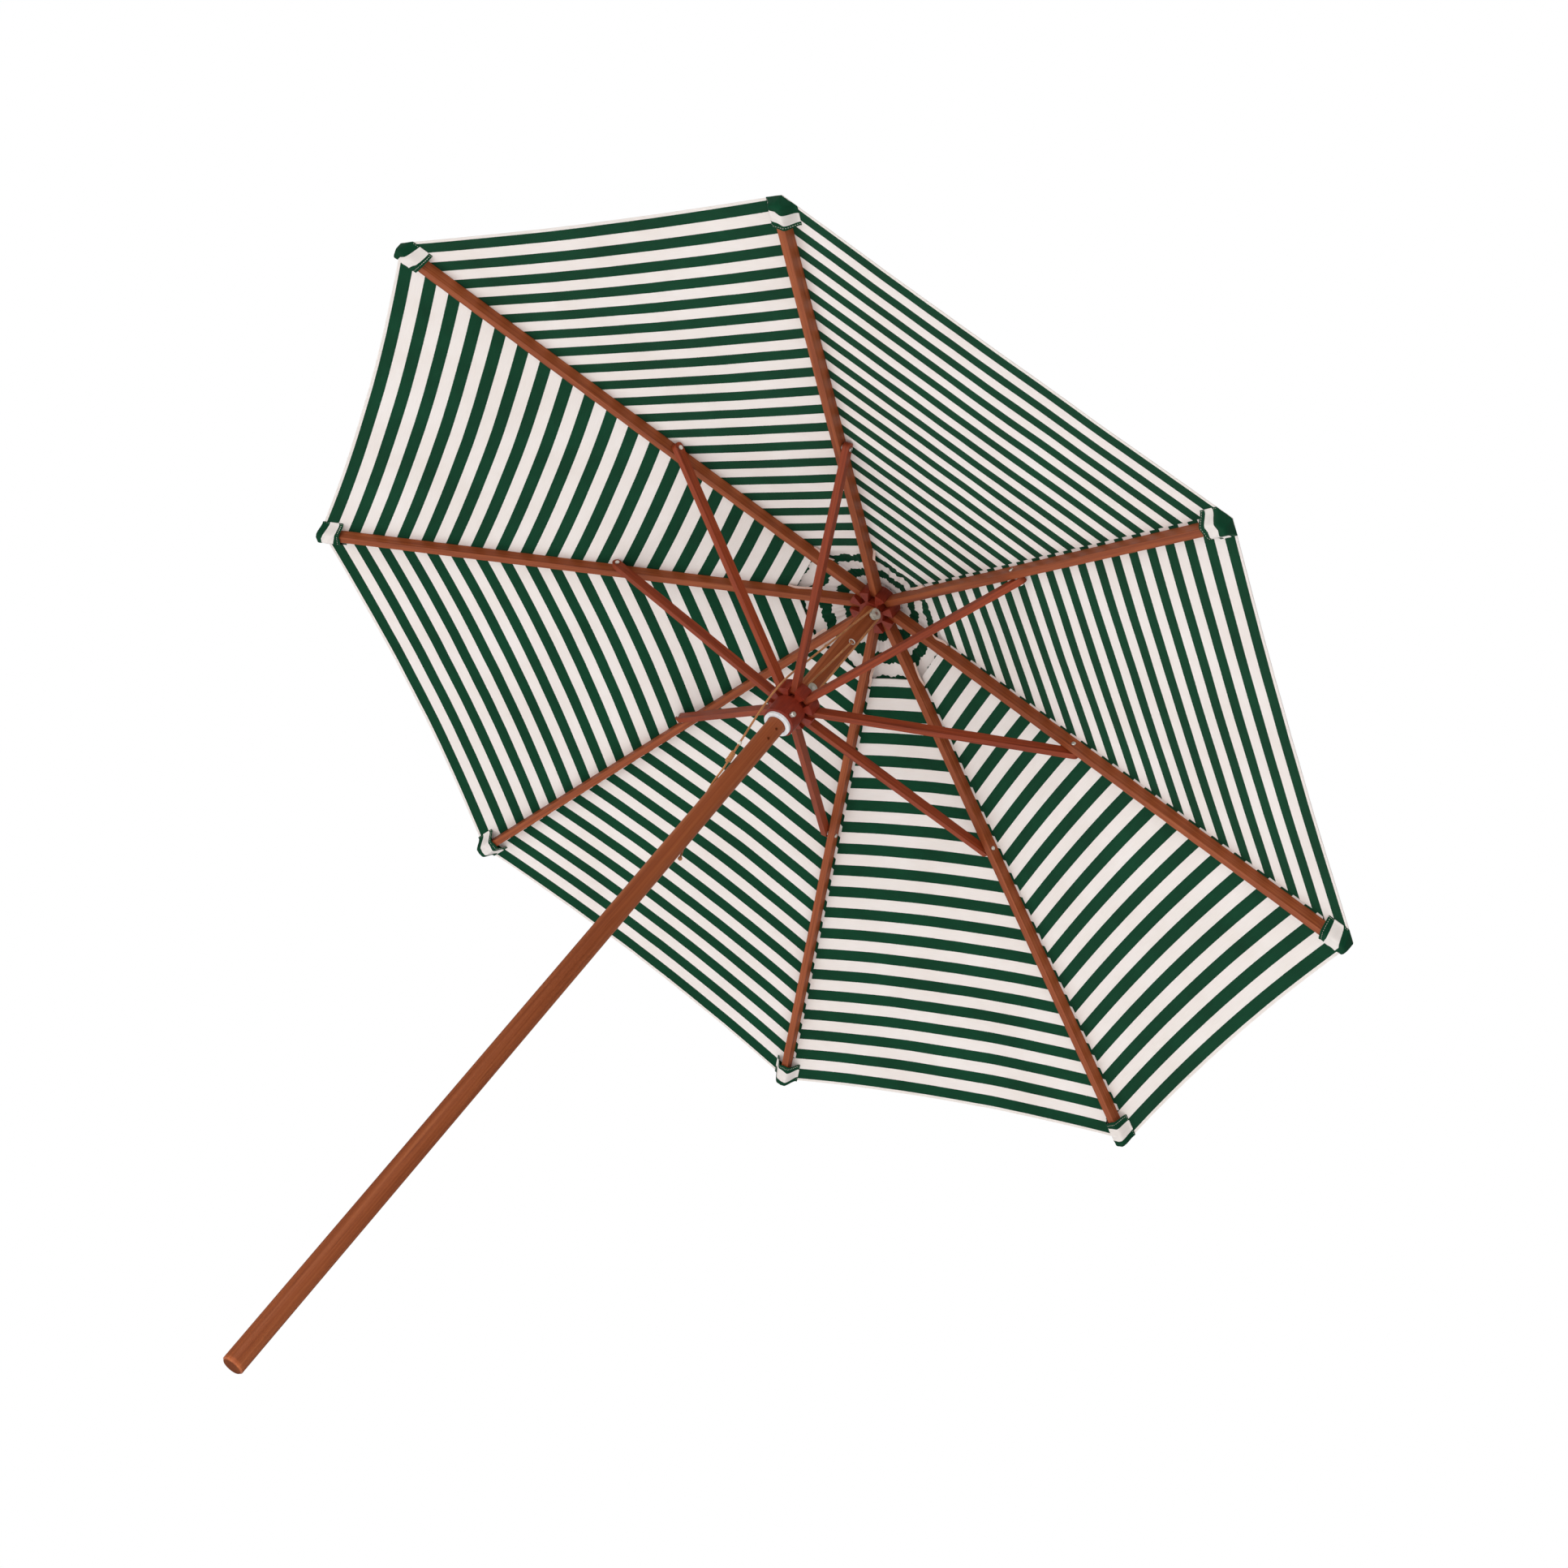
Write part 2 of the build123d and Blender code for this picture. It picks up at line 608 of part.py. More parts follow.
bead_point = fall_points[-2] + (fall_points[-1] - fall_points[-2]) * bead_place
with BuildPart() as rope_bead:
    with Locations(Location(Plane(origin=bead_point, z_dir=knot_axis))):
        Sphere(bead_radius)
    with BuildSketch(Plane(origin=bead_point - knot_axis * bead_radius, z_dir=knot_axis)):
        Circle(rope_radius + running_gap)
    extrude(amount=2.0 * bead_radius, mode=Mode.SUBTRACT)
save(rope_bead.part, "rope_bead")

knot_end = knot_start + knot_axis * knot_length
tail_points = [
    knot_end,
    knot_end + knot_axis * 16.0,
    beside(-19, 13, 588),
    beside(-9, 23, 622),
    beside(3, 25, 664),
    beside(12, 23, 706),
    beside(21, 15, 742),
    beside(25, 4, 768),
]
rope_tube("rope_tail", tail_points, route_radii(tail_points))

end_axis = (tail_points[-1] - tail_points[-2]).normalized()
with BuildPart() as rope_end:
    with BuildSketch(Plane(origin=tail_points[-1], z_dir=end_axis)):
        Circle(bead_radius)
    extrude(amount=rope_end_length)
    fillet(rope_end.edges().filter_by(GeomType.CIRCLE), bead_radius * end_rounding)
save(rope_end.part, "rope_end")
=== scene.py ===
import json
from math import atan2, ceil, cos, hypot, pi, radians, sin, sqrt, tan

import bmesh
import bpy
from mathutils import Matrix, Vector, noise


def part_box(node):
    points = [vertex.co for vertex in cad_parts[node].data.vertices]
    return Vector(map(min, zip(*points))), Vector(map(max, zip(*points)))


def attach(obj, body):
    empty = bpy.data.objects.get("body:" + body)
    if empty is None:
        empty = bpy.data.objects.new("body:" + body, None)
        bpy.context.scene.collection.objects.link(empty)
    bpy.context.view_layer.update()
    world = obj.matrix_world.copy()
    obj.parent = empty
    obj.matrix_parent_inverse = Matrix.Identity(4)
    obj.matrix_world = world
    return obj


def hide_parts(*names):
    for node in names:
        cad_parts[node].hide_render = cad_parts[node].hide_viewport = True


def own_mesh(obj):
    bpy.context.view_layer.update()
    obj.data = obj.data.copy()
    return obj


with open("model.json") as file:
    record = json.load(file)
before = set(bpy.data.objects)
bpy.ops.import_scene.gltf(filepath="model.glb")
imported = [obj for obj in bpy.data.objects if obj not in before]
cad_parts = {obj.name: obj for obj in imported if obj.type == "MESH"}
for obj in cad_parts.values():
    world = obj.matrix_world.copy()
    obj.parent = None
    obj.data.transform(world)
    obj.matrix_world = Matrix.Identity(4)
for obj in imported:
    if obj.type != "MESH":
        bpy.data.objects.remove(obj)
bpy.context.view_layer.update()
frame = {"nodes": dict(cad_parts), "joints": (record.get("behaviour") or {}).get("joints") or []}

ribCount = 8
halfPanel = pi / ribCount  # from a rib to the middle of the panel beside it
jointsByName = {joint["name"]: joint for joint in frame["joints"]}


def mixNumbers(a, b, share):
    return a + (b - a) * share


def smooth(low, high, value):
    share = min(max((value - low) / (high - low), 0.0), 1.0)
    return share * share * (3.0 - 2.0 * share)


def ribAngle(index):
    return 2.0 * halfPanel * index


# ---- camera ----
view = {
    "place": (-1.042, -3.4295, -1.1834),
    "turn": (133.422, -32.640, -42.063),  # degrees about X, Y and Z
    "lens": 54.0,
    "shift": (0.084, -0.0065),
}


def makeCamera(sizes):
    camera = bpy.data.objects.new("camera", bpy.data.cameras.new("camera"))
    camera.location = sizes["place"]
    camera.rotation_euler = [radians(angle) for angle in sizes["turn"]]
    camera.data.lens = sizes["lens"]
    camera.data.shift_x, camera.data.shift_y = sizes["shift"]
    camera.data.clip_end = 200.0
    bpy.context.collection.objects.link(camera)
    bpy.context.scene.camera = camera


makeCamera(view)
bpy.context.scene.view_settings.view_transform = "Standard"
print("camera set")


# ---- materials ----
def linear(code):
    parts = [int(code[i:i + 2], 16) / 255.0 for i in (1, 3, 5)]
    return [p / 12.92 if p <= 0.04045 else ((p + 0.055) / 1.055) ** 2.4 for p in parts] + [1.0]


def addNode(tree, kind, settings=None, links=None):
    # settings name a property or an input, links say which output feeds an input
    node = tree.nodes.new(kind)
    for key, value in (settings or {}).items():
        if isinstance(key, str) and hasattr(node, key):
            setattr(node, key, value)
        else:
            node.inputs[key].default_value = value
    for key, source in (links or {}).items():
        tree.links.new(source, node.inputs[key])
    return node


def newMaterial(name):
    material = bpy.data.materials.new(name)
    material.use_nodes = True
    material.node_tree.nodes.clear()
    return material, material.node_tree


def finishMaterial(tree, shader):
    addNode(tree, "ShaderNodeOutputMaterial", links={"Surface": shader.outputs[0]})


def ramp(tree, source, stops):
    node = addNode(tree, "ShaderNodeValToRGB", links={"Fac": source})
    for index, (place, code) in enumerate(stops):
        stop = node.color_ramp.elements[index] if index < 2 else node.color_ramp.elements.new(place)
        stop.position = place
        stop.color = linear(code)
    return node.outputs["Color"]


def wave(tree, operation, first, second=None):
    settings = {"operation": operation}
    links = {}
    for place, value in enumerate((first, second)):
        if value is None:
            continue
        if isinstance(value, (int, float)):
            settings[place] = value
        else:
            links[place] = value
    return addNode(tree, "ShaderNodeMath", settings, links).outputs[0]


def objectPlace(tree):
    return addNode(tree, "ShaderNodeTexCoord").outputs["Object"]


def noiseOf(tree, place, scale, detail, **more):
    settings = {"Scale": scale, "Detail": detail, **more}
    return addNode(tree, "ShaderNodeTexNoise", settings, {"Vector": place}).outputs["Fac"]


def stretched(tree, place, scale):
    return addNode(tree, "ShaderNodeMapping", {"Scale": scale}, {"Vector": place}).outputs[0]


def weighted(tree, first, firstShare, second, secondShare):
    return wave(tree, "ADD", wave(tree, "MULTIPLY", first, firstShare),
                wave(tree, "MULTIPLY", second, secondShare))


def spread(tree, value, low, high):
    return addNode(tree, "ShaderNodeMapRange", {"To Min": low, "To Max": high}, {"Value": value}).outputs[0]


def bumpFrom(tree, height, strength, distance):
    settings = {"Strength": strength, "Distance": distance}
    return addNode(tree, "ShaderNodeBump", settings, {"Height": height}).outputs[0]


def principled(tree, settings, colour, rough, normal):
    links = {"Base Color": colour, "Roughness": rough, "Normal": normal}
    return addNode(tree, "ShaderNodeBsdfPrincipled", settings, links)


canvasCut = {
    "stripePitch": 0.05097,  # one green and one white stripe, along the slope
    "stripes": 19,
    "capPitch": 0.0505,
    "capStripes": 6,
    "greenShare": 0.49,
    "thread": 0.0016,  # real threads are 0.5 mm apart, drawn coarser so that they show
    "wander": 0.0009,  # how far dyed yarns stray at a stripe's edge
    "through": 0.22,  # share of the light that comes through
    "green": "#0f4a31",
    "greenDeep": "#0a3a25",
    "white": "#f9f4f2",
    "whiteWarm": "#f1e9e4",
}


def canvasMaterial(name, sizes, pitch, stripes):
    # awning canvas, solution-dyed yarn in a plain weave: matt, soft at grazing angles
    material, tree = newMaterial(name)
    cut = addNode(tree, "ShaderNodeUVMap", {"uv_map": "cut"}).outputs["UV"]
    split = addNode(tree, "ShaderNodeSeparateXYZ", links={0: cut})
    along, inward = split.outputs["X"], split.outputs["Y"]
    place = objectPlace(tree)
    stray = wave(tree, "SUBTRACT", noiseOf(tree, place, 1.0 / sizes["thread"], 1.0), 0.5)
    shifted = wave(tree, "ADD", inward, wave(tree, "MULTIPLY", stray, sizes["wander"]))
    turns = wave(tree, "DIVIDE", shifted, pitch)
    part = wave(tree, "FRACT", turns)
    inStripe = wave(tree, "LESS_THAN", part, sizes["greenShare"])
    above = wave(tree, "GREATER_THAN", shifted, 0.0)
    below = wave(tree, "LESS_THAN", turns, stripes - 1 + sizes["greenShare"])
    isGreen = wave(tree, "MULTIPLY", inStripe, wave(tree, "MULTIPLY", above, below))
    # blotches of hand-size, and slubs along the weft
    blotch = noiseOf(tree, place, 7.0, 3.0, Roughness=0.6)
    slub = noiseOf(tree, stretched(tree, cut, (30.0, 900.0, 1.0)), 1.0, 2.0)
    tone = weighted(tree, blotch, 0.6, slub, 0.4)
    green = ramp(tree, tone, [(0.3, sizes["greenDeep"]), (0.7, sizes["green"])])
    white = ramp(tree, tone, [(0.3, sizes["whiteWarm"]), (0.7, sizes["white"])])
    links = {0: isGreen, 6: white, 7: green}
    colour = addNode(tree, "ShaderNodeMix", {"data_type": "RGBA"}, links).outputs[2]
    # raised warp and weft threads
    threads = 2.0 * pi / sizes["thread"]
    warpWave = wave(tree, "SINE", wave(tree, "MULTIPLY", along, threads))
    weftWave = wave(tree, "SINE", wave(tree, "MULTIPLY", inward, threads))
    weave = wave(tree, "ADD", wave(tree, "MULTIPLY", warpWave, weftWave), slub)
    bump = bumpFrom(tree, weave, 0.35, 0.0003)
    cloth = principled(tree, {"Sheen Weight": 0.03, "Sheen Roughness": 0.5, "Specular IOR Level": 0.12},
                       colour, spread(tree, slub, 0.82, 0.94), bump)
    through = addNode(tree, "ShaderNodeBsdfTranslucent", links={"Color": colour, "Normal": bump})
    links = {1: cloth.outputs[0], 2: through.outputs[0]}
    blend = addNode(tree, "ShaderNodeMixShader", {"Fac": sizes["through"]}, links)
    finishMaterial(tree, blend)
    return material


def polarGrain(tree, slope):
    # turns Object coordinates into across, height and along for the nearest rib or strut,
    # and keeps the grain of one apart from the next
    split = addNode(tree, "ShaderNodeSeparateXYZ", links={0: objectPlace(tree)})
    x, y, z = split.outputs
    angle = wave(tree, "ARCTAN2", y, x)
    index = wave(tree, "ROUND", wave(tree, "DIVIDE", angle, 2.0 * halfPanel))
    offset = wave(tree, "SUBTRACT", angle, wave(tree, "MULTIPLY", index, 2.0 * halfPanel))
    away = wave(tree, "SQRT", wave(tree, "ADD", wave(tree, "MULTIPLY", x, x), wave(tree, "MULTIPLY", y, y)))
    along = wave(tree, "MULTIPLY", away, wave(tree, "COSINE", offset))
    across = wave(tree, "MULTIPLY", away, wave(tree, "SINE", offset))
    height = wave(tree, "ADD", z, wave(tree, "MULTIPLY", along, tan(slope)))
    apart = wave(tree, "MULTIPLY", index, 3.7)
    return addNode(tree, "ShaderNodeCombineXYZ", links={
        0: across, 1: wave(tree, "ADD", height, apart), 2: along}).outputs[0]


def woodMaterial(name, sizes, slope=None):
    # oiled tropical hardwood, planed and sanded: fine straight grain, short dark pores, low satin gloss
    material, tree = newMaterial(name)
    place = objectPlace(tree) if slope is None else polarGrain(tree, slope)
    fibre = 1.0 / sizes["fibre"]
    stretch = 1.0 / sizes["run"]
    fine = stretched(tree, place, (fibre, fibre, stretch))
    broad = stretched(tree, place, (fibre * 0.16, fibre * 0.16, stretch * 0.35))
    pore = stretched(tree, place, (fibre * 1.1, fibre * 1.1, stretch * 3.0))
    fineNoise = noiseOf(tree, fine, 1.0, 2.0, Roughness=0.5)
    broadNoise = noiseOf(tree, broad, 1.0, 3.0, Distortion=0.6)
    poreNoise = noiseOf(tree, pore, 1.0, 1.0)
    grain = weighted(tree, fineNoise, 0.5, broadNoise, 0.5)
    base = ramp(tree, grain, [(0.28, sizes["dark"]), (0.72, sizes["light"]), (0.5, sizes["middle"])])
    inPore = addNode(tree, "ShaderNodeMapRange", {"From Min": 0.66, "From Max": 0.78}, {"Value": poreNoise})
    poreMask = inPore.outputs[0]
    colour = addNode(tree, "ShaderNodeMix", {"data_type": "RGBA", 7: linear(sizes["pore"])},
                     {0: wave(tree, "MULTIPLY", poreMask, 0.4), 6: base}).outputs[2]
    rough = spread(tree, fineNoise, sizes["rough"] - 0.06, sizes["rough"] + 0.1)
    bump = bumpFrom(tree, wave(tree, "SUBTRACT", fineNoise, poreMask), 0.3, 0.00025)
    gloss = {"Specular IOR Level": 0.22, "Coat Weight": sizes["coat"], "Coat Roughness": 0.35}
    finishMaterial(tree, principled(tree, gloss, colour, rough, bump))
    return material


def steelMaterial(name):
    # zinc-plated mild steel: bright grey, faint spangle and fine scratches from handling
    material, tree = newMaterial(name)
    place = objectPlace(tree)
    spangle = addNode(tree, "ShaderNodeTexVoronoi", {"Scale": 380.0}, {"Vector": place})
    scratch = noiseOf(tree, place, 2600.0, 2.0)
    tone = weighted(tree, spangle.outputs["Distance"], 0.7, scratch, 0.4)
    colour = ramp(tree, tone, [(0.1, "#c9c9c4"), (0.9, "#e9e8e2")])
    rough, bump = spread(tree, tone, 0.24, 0.42), bumpFrom(tree, scratch, 0.15, 0.0001)
    finishMaterial(tree, principled(tree, {"Metallic": 1.0}, colour, rough, bump))
    return material


def nylonMaterial(name, pale, deep):
    # moulded nylon: milky, faint flow marks, soft highlight, grime in its pores
    material, tree = newMaterial(name)
    place = objectPlace(tree)
    flow = noiseOf(tree, place, 90.0, 4.0, Distortion=0.8)
    speck = noiseOf(tree, place, 1500.0, 1.0)
    colour = ramp(tree, flow, [(0.3, deep), (0.65, pale)])
    rough, bump = spread(tree, flow, 0.34, 0.5), bumpFrom(tree, speck, 0.2, 0.0001)
    milky = {"IOR": 1.53, "Subsurface Weight": 0.08, "Subsurface Scale": 0.002}
    finishMaterial(tree, principled(tree, milky, colour, rough, bump))
    return material


def cordMaterial(name, pale, deep):
    # spun or twisted yarns: silky, with painted shade darkening them where they dip
    material, tree = newMaterial(name)
    place = objectPlace(tree)
    yarn = noiseOf(tree, place, 2200.0, 2.0, Roughness=0.6)
    worn = noiseOf(tree, place, 60.0, 3.0)
    # colour follows the yarn noise that also sets the bump, so the dips get painted shade; the worn noise
    # adds tone that varies at random
    colour = ramp(tree, weighted(tree, yarn, 0.6, worn, 0.4), [(0.32, deep), (0.68, pale)])
    rough, bump = spread(tree, yarn, 0.5, 0.75), bumpFrom(tree, yarn, 0.4, 0.0002)
    silky = {"Sheen Weight": 0.25, "Specular IOR Level": 0.3}
    finishMaterial(tree, principled(tree, silky, colour, rough, bump))
    return material


canopySlope = radians(19.05)  # slope of a rib, and of the cloth's ridge along it
strutSlope = radians(-18.7)
ribWood = {"fibre": 0.0034, "run": 0.22, "light": "#a25832", "middle": "#8a4422", "dark": "#6c2f15",
           "pore": "#4a2210", "rough": 0.5, "coat": 0.02}
strutWood = {**ribWood, "light": "#974221", "middle": "#813316", "dark": "#63230d"}
poleWood = {"fibre": 0.0042, "run": 0.34, "light": "#ab623a", "middle": "#944d29", "dark": "#79391b",
            "pore": "#4f2413", "rough": 0.5, "coat": 0.03}
hubWood = {"fibre": 0.0016, "run": 0.02, "light": "#8c321d", "middle": "#7a2716", "dark": "#621c0f",
           "pore": "#541a10", "rough": 0.45, "coat": 0.05}

canopyCanvas = canvasMaterial("wovenAwningCanvas", canvasCut, canvasCut["stripePitch"], canvasCut["stripes"])
capCanvas = canvasMaterial("wovenAwningCanvasCap", canvasCut, canvasCut["capPitch"], canvasCut["capStripes"])
finishes = {
    "pole": woodMaterial("oiledHardwoodPole", poleWood),
    "rib": woodMaterial("oiledHardwoodRib", ribWood, canopySlope),
    "strut": woodMaterial("oiledHardwoodStrut", strutWood, strutSlope),
    "hub": woodMaterial("stainedHardwoodHub", hubWood),
    "steel": steelMaterial("zincPlatedSteel"),
    "wheel": nylonMaterial("mouldedNylonWheel", "#c9c5ba", "#a9a498"),
    "bush": nylonMaterial("mouldedNylonBush", "#eef1f4", "#d3d9de"),
    "bead": nylonMaterial("mouldedNylonBead", "#ebe5d8", "#d0c8b6"),
    "cord": cordMaterial("twistedPolyesterCord", "#cc8c52", "#8c4e21"),
    "thread": cordMaterial("spunPolyesterThread", "#efe8df", "#d8cec2"),
    "tape": cordMaterial("wovenCottonTape", "#f0d8cb", "#dcb9a8"),
}
nodeFinish = {
    "pole": "pole", "crown": "hub", "runner": "hub", "finial": "hub",
    "crown_pins": "steel", "runner_pins": "steel", "crown_pulley_mount": "steel",
    "runner_pulley_mount": "steel", "rope_eye": "steel", "cap_washer": "steel", "lock_pin": "steel",
    "crown_pulley": "wheel", "runner_pulley": "wheel", "runner_bush": "bush", "rope_bead": "bead",
}
for index in range(ribCount):
    nodeFinish[f"rib_{index + 1}"] = "rib"
    nodeFinish[f"strut_{index + 1}"] = "strut"
    nodeFinish[f"strut_pin_{index + 1}"] = "steel"
for nodeName, finish in nodeFinish.items():
    mesh = frame["nodes"][nodeName].data
    mesh.materials.clear()
    mesh.materials.append(finishes[finish])
print("materials made")


# ---- pieces ----
def keepPiece(name, mesh, body, material):
    piece = bpy.data.objects.new(name, mesh)
    bpy.context.collection.objects.link(piece)
    mesh.materials.clear()
    mesh.materials.append(material)
    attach(piece, body)
    return piece


def thinSheet(name, across, along, pointAt, thickAt, cutAt):
    # a closed thin solid of cloth over a grid, with its flat cut kept in the UV map "cut"
    sheet = bmesh.new()
    cutLayer = sheet.loops.layers.uv.new("cut")
    lower, upper, cuts = [], [], {}
    for row in along:
        lowRow, highRow = [], []
        for column in across:
            point = pointAt(column, row)
            low = sheet.verts.new(point)
            high = sheet.verts.new(point + Vector((0.0, 0.0, thickAt(column, row))))
            cuts[low] = cuts[high] = cutAt(column, row)
            lowRow.append(low)
            highRow.append(high)
        lower.append(lowRow)
        upper.append(highRow)
    rows, columns = len(along), len(across)
    for j in range(rows - 1):
        for i in range(columns - 1):
            sheet.faces.new((lower[j][i], lower[j][i + 1], lower[j + 1][i + 1], lower[j + 1][i]))
            sheet.faces.new((upper[j][i], upper[j + 1][i], upper[j + 1][i + 1], upper[j][i + 1]))
    rim = [(0, i) for i in range(columns)] + [(j, columns - 1) for j in range(1, rows)]
    rim += [(rows - 1, i) for i in range(columns - 2, -1, -1)] + [(j, 0) for j in range(rows - 2, 0, -1)]
    for (j, i), (m, n) in zip(rim, rim[1:] + rim[:1]):
        sheet.faces.new((lower[j][i], upper[j][i], upper[m][n], lower[m][n]))
    bmesh.ops.recalc_face_normals(sheet, faces=sheet.faces)
    for face in sheet.faces:
        face.smooth = True
        for loop in face.loops:
            loop[cutLayer].uv = cuts[loop.vert]
    mesh = bpy.data.meshes.new(name)
    sheet.to_mesh(mesh)
    sheet.free()
    mesh.set_sharp_from_angle(angle=radians(50.0))
    return mesh


# ---- the canopy's cloth, two half panels for each rib ----
canopyCloth = {
    "radius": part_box("canopy_1")[1][0] - 0.0004,  # axis to a corner
    "ventRadius": 0.172,  # axis to a corner of the vent
    "clothLift": 0.0017,  # cloth above a rib
    "ribTop": 0.0165,  # rib's top above its hinge, square to the rib
    "edgeHollow": 0.012,  # how far an edge curves inwards at its middle
    "billow": 0.006,
    "firstGreen": 1.0572,  # axis to the first green stripe, level, beside a rib
    "stripeBow": 0.0136,
    "bowGrowth": 1.8,
    "cloth": 0.0008,
    "hem": 0.0018,
    "facing": 0.0014,
    "columns": 26,
    "rows": 120,
    "foldedWidth": 0.15,  # share of its width that half a gore keeps when folded
    "broadRipple": (0.0022, 5.0),  # height of a ripple, and its scale
    "smallRipple": (0.0006, 19.0),
    "hemTurn": (-0.001, 0.0005),  # the hem ends here, from the first green stripe
    "facingTurn": (0.0145, 0.016),  # the vent's facing ends here, from the vent
}
hingeHeight = jointsByName["fold"]["pos_m"][2]
hingeCircle = jointsByName["fold"]["pos_m"][0]
ridgeBase = hingeHeight + canopyCloth["ribTop"] / cos(canopySlope) + canopyCloth["clothLift"]
ridgeApex = ridgeBase + hingeCircle * tan(canopySlope)
panelFall = tan(canopySlope) / cos(halfPanel)
panelSlope = atan2(panelFall, 1.0)
edgeLevel = canopyCloth["radius"] * cos(halfPanel)
ventLevel = canopyCloth["ventRadius"] * cos(halfPanel)


def clothRipple(x, y):
    # slack of a few millimetres in a cloth that hangs between two ribs
    broad, broadScale = canopyCloth["broadRipple"]
    small, smallScale = canopyCloth["smallRipple"]
    return (broad * noise.noise(Vector((x * broadScale, y * broadScale, 3.1)))
            + small * noise.noise(Vector((x * smallScale, y * smallScale, 7.7))))


def clothHeight(level, side, x, y):
    slack = 1.0 - side * side
    grow = level / edgeLevel
    return ridgeApex - panelFall * level + slack * (canopyCloth["billow"] * grow + clothRipple(x, y))


def edgeAt(side):
    return edgeLevel - canopyCloth["edgeHollow"] * (1.0 - side * side)


def levelAt(side, share):
    return mixNumbers(ventLevel, edgeAt(side), share)


def turned(angle, outward, sideways):
    return outward * cos(angle) - sideways * sin(angle), outward * sin(angle) + sideways * cos(angle)


def panelPlace(index, column, level):
    # column runs from -1 in the middle of one panel, over the rib at 0, to 1 in the middle of the next
    hand = -1.0 if column < 0.0 else 1.0
    sideways = -hand * (1.0 - abs(column)) * level * tan(halfPanel)
    return turned(ribAngle(index) + hand * halfPanel, level, sideways)


def panelPoint(index, column, share):
    side = 1.0 - abs(column)
    level = levelAt(side, share)
    x, y = panelPlace(index, column, level)
    return Vector((x, y, clothHeight(level, side, x, y)))


def clothBeside(index, reach, aside):
    # place and height of the canopy's underside beside a rib
    x, y = turned(ribAngle(index), reach, aside)
    level = reach * cos(halfPanel) + abs(aside) * sin(halfPanel)
    return x, y, clothHeight(level, 1.0 - abs(aside) / (level * tan(halfPanel)), x, y)


def stripeDepth(side, level):
    # distance from the first green stripe's outer edge, along the slope
    bow = canopyCloth["stripeBow"] * (level / edgeLevel) ** canopyCloth["bowGrowth"] * (1.0 - side * side)
    return (canopyCloth["firstGreen"] - bow - level) / cos(panelSlope)


def panelCut(column, share):
    side = 1.0 - abs(column)
    level = levelAt(side, share)
    return (column * level * tan(halfPanel), stripeDepth(side, level))


def panelThickness(column, share):
    side = 1.0 - abs(column)
    level = levelAt(side, share)
    facingLow, facingHigh = canopyCloth["facingTurn"]
    inHem = 1.0 - smooth(*canopyCloth["hemTurn"], stripeDepth(side, level))
    inFacing = 1.0 - smooth(ventLevel + facingLow, ventLevel + facingHigh, level)
    thick = mixNumbers(canopyCloth["cloth"], canopyCloth["hem"], inHem)
    return mixNumbers(thick, canopyCloth["facing"], inFacing)


def evenSteps(count, low=0.0, high=1.0):
    return [mixNumbers(low, high, step / count) for step in range(count + 1)]


def sideName(hand):
    return "Left" if hand < 0.0 else "Right"


def makeCanopyHalf(index, hand):
    # the cloth on one side of a rib, out to the middle of the panel
    columns = sorted(hand * step for step in evenSteps(canopyCloth["columns"]))
    rows = evenSteps(canopyCloth["rows"])
    # more rows where the hem and the facing turn
    rows = sorted(set(rows + evenSteps(6, 0.0, 0.02) + evenSteps(10, 0.985, 1.0)))
    name = f"canopy{sideName(hand)}{index + 1}"
    mesh = thinSheet(name, columns, rows, lambda column, row: panelPoint(index, column, row),
                     panelThickness, panelCut)
    piece = keepPiece(name, mesh, f"rib_{index + 1}", canopyCanvas)
    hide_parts(f"canopy_{index + 1}")
    return piece


def foldHalf(piece):
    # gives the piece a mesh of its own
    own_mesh(piece)


halves = [(index, hand, makeCanopyHalf(index, hand)) for index in range(ribCount) for hand in (-1.0, 1.0)]
print("canopy cloth made")


# ---- a pocket of the same cloth on each rib's end ----
pocket = {
    "halfWidth": 0.029,
    "length": 0.052,
    "mouthInset": 0.006,
    "mouthCurve": 0.004,
    "overhang": 0.0005,  # past the canopy's edge
    "depth": 0.0275,
    "flat": 0.0085,
    "crease": 0.0007,
    "gap": 0.0004,
    "cloth": 0.0009,
    "innerGreen": 0.0135,
    "tipRound": 0.16,
    "sway": 0.0032,
    "columns": 34,
    "rows": 30,
}


def pocketPoint(index, across, along):
    aside = across * pocket["halfWidth"]
    tip = (edgeLevel + pocket["overhang"] - abs(aside) * sin(halfPanel)) / cos(halfPanel)
    mouth = canopyCloth["radius"] - pocket["length"] - pocket["mouthInset"]
    mouth += pocket["mouthCurve"] * across ** 2
    x, y, height = clothBeside(index, mixNumbers(mouth, tip, along), aside)
    outside = max(abs(aside) - pocket["flat"], 0.0) / (pocket["halfWidth"] - pocket["flat"])
    sling = (0.5 + 0.5 * cos(pi * outside)) if outside < 1.0 else 0.0
    turn = max(along - (1.0 - pocket["tipRound"]), 0.0) / pocket["tipRound"]
    closing = sqrt(max(1.0 - turn * turn, 0.0))
    crease = pocket["crease"] * sin(along * 19.0 + across * 5.0) * sling
    drop = pocket["depth"] * sling * closing + crease + pocket["gap"]
    return Vector((x, y, height - drop - pocket["cloth"]))


def pocketCut(across, along):
    depth = along * (pocket["length"] + pocket["mouthInset"]) + pocket["sway"] * sin(across * 2.4)
    greenWidth = canvasCut["stripePitch"] * canvasCut["greenShare"]
    return (across * pocket["halfWidth"], greenWidth - pocket["innerGreen"] + max(depth, 0.0))


def makePocket(index):
    name = f"cornerPocket{index + 1}"
    mesh = thinSheet(name, evenSteps(pocket["columns"], -1.0, 1.0), evenSteps(pocket["rows"]),
                     lambda across, along: pocketPoint(index, across, along),
                     lambda across, along: pocket["cloth"], pocketCut)
    return keepPiece(name, mesh, f"rib_{index + 1}", canopyCanvas)


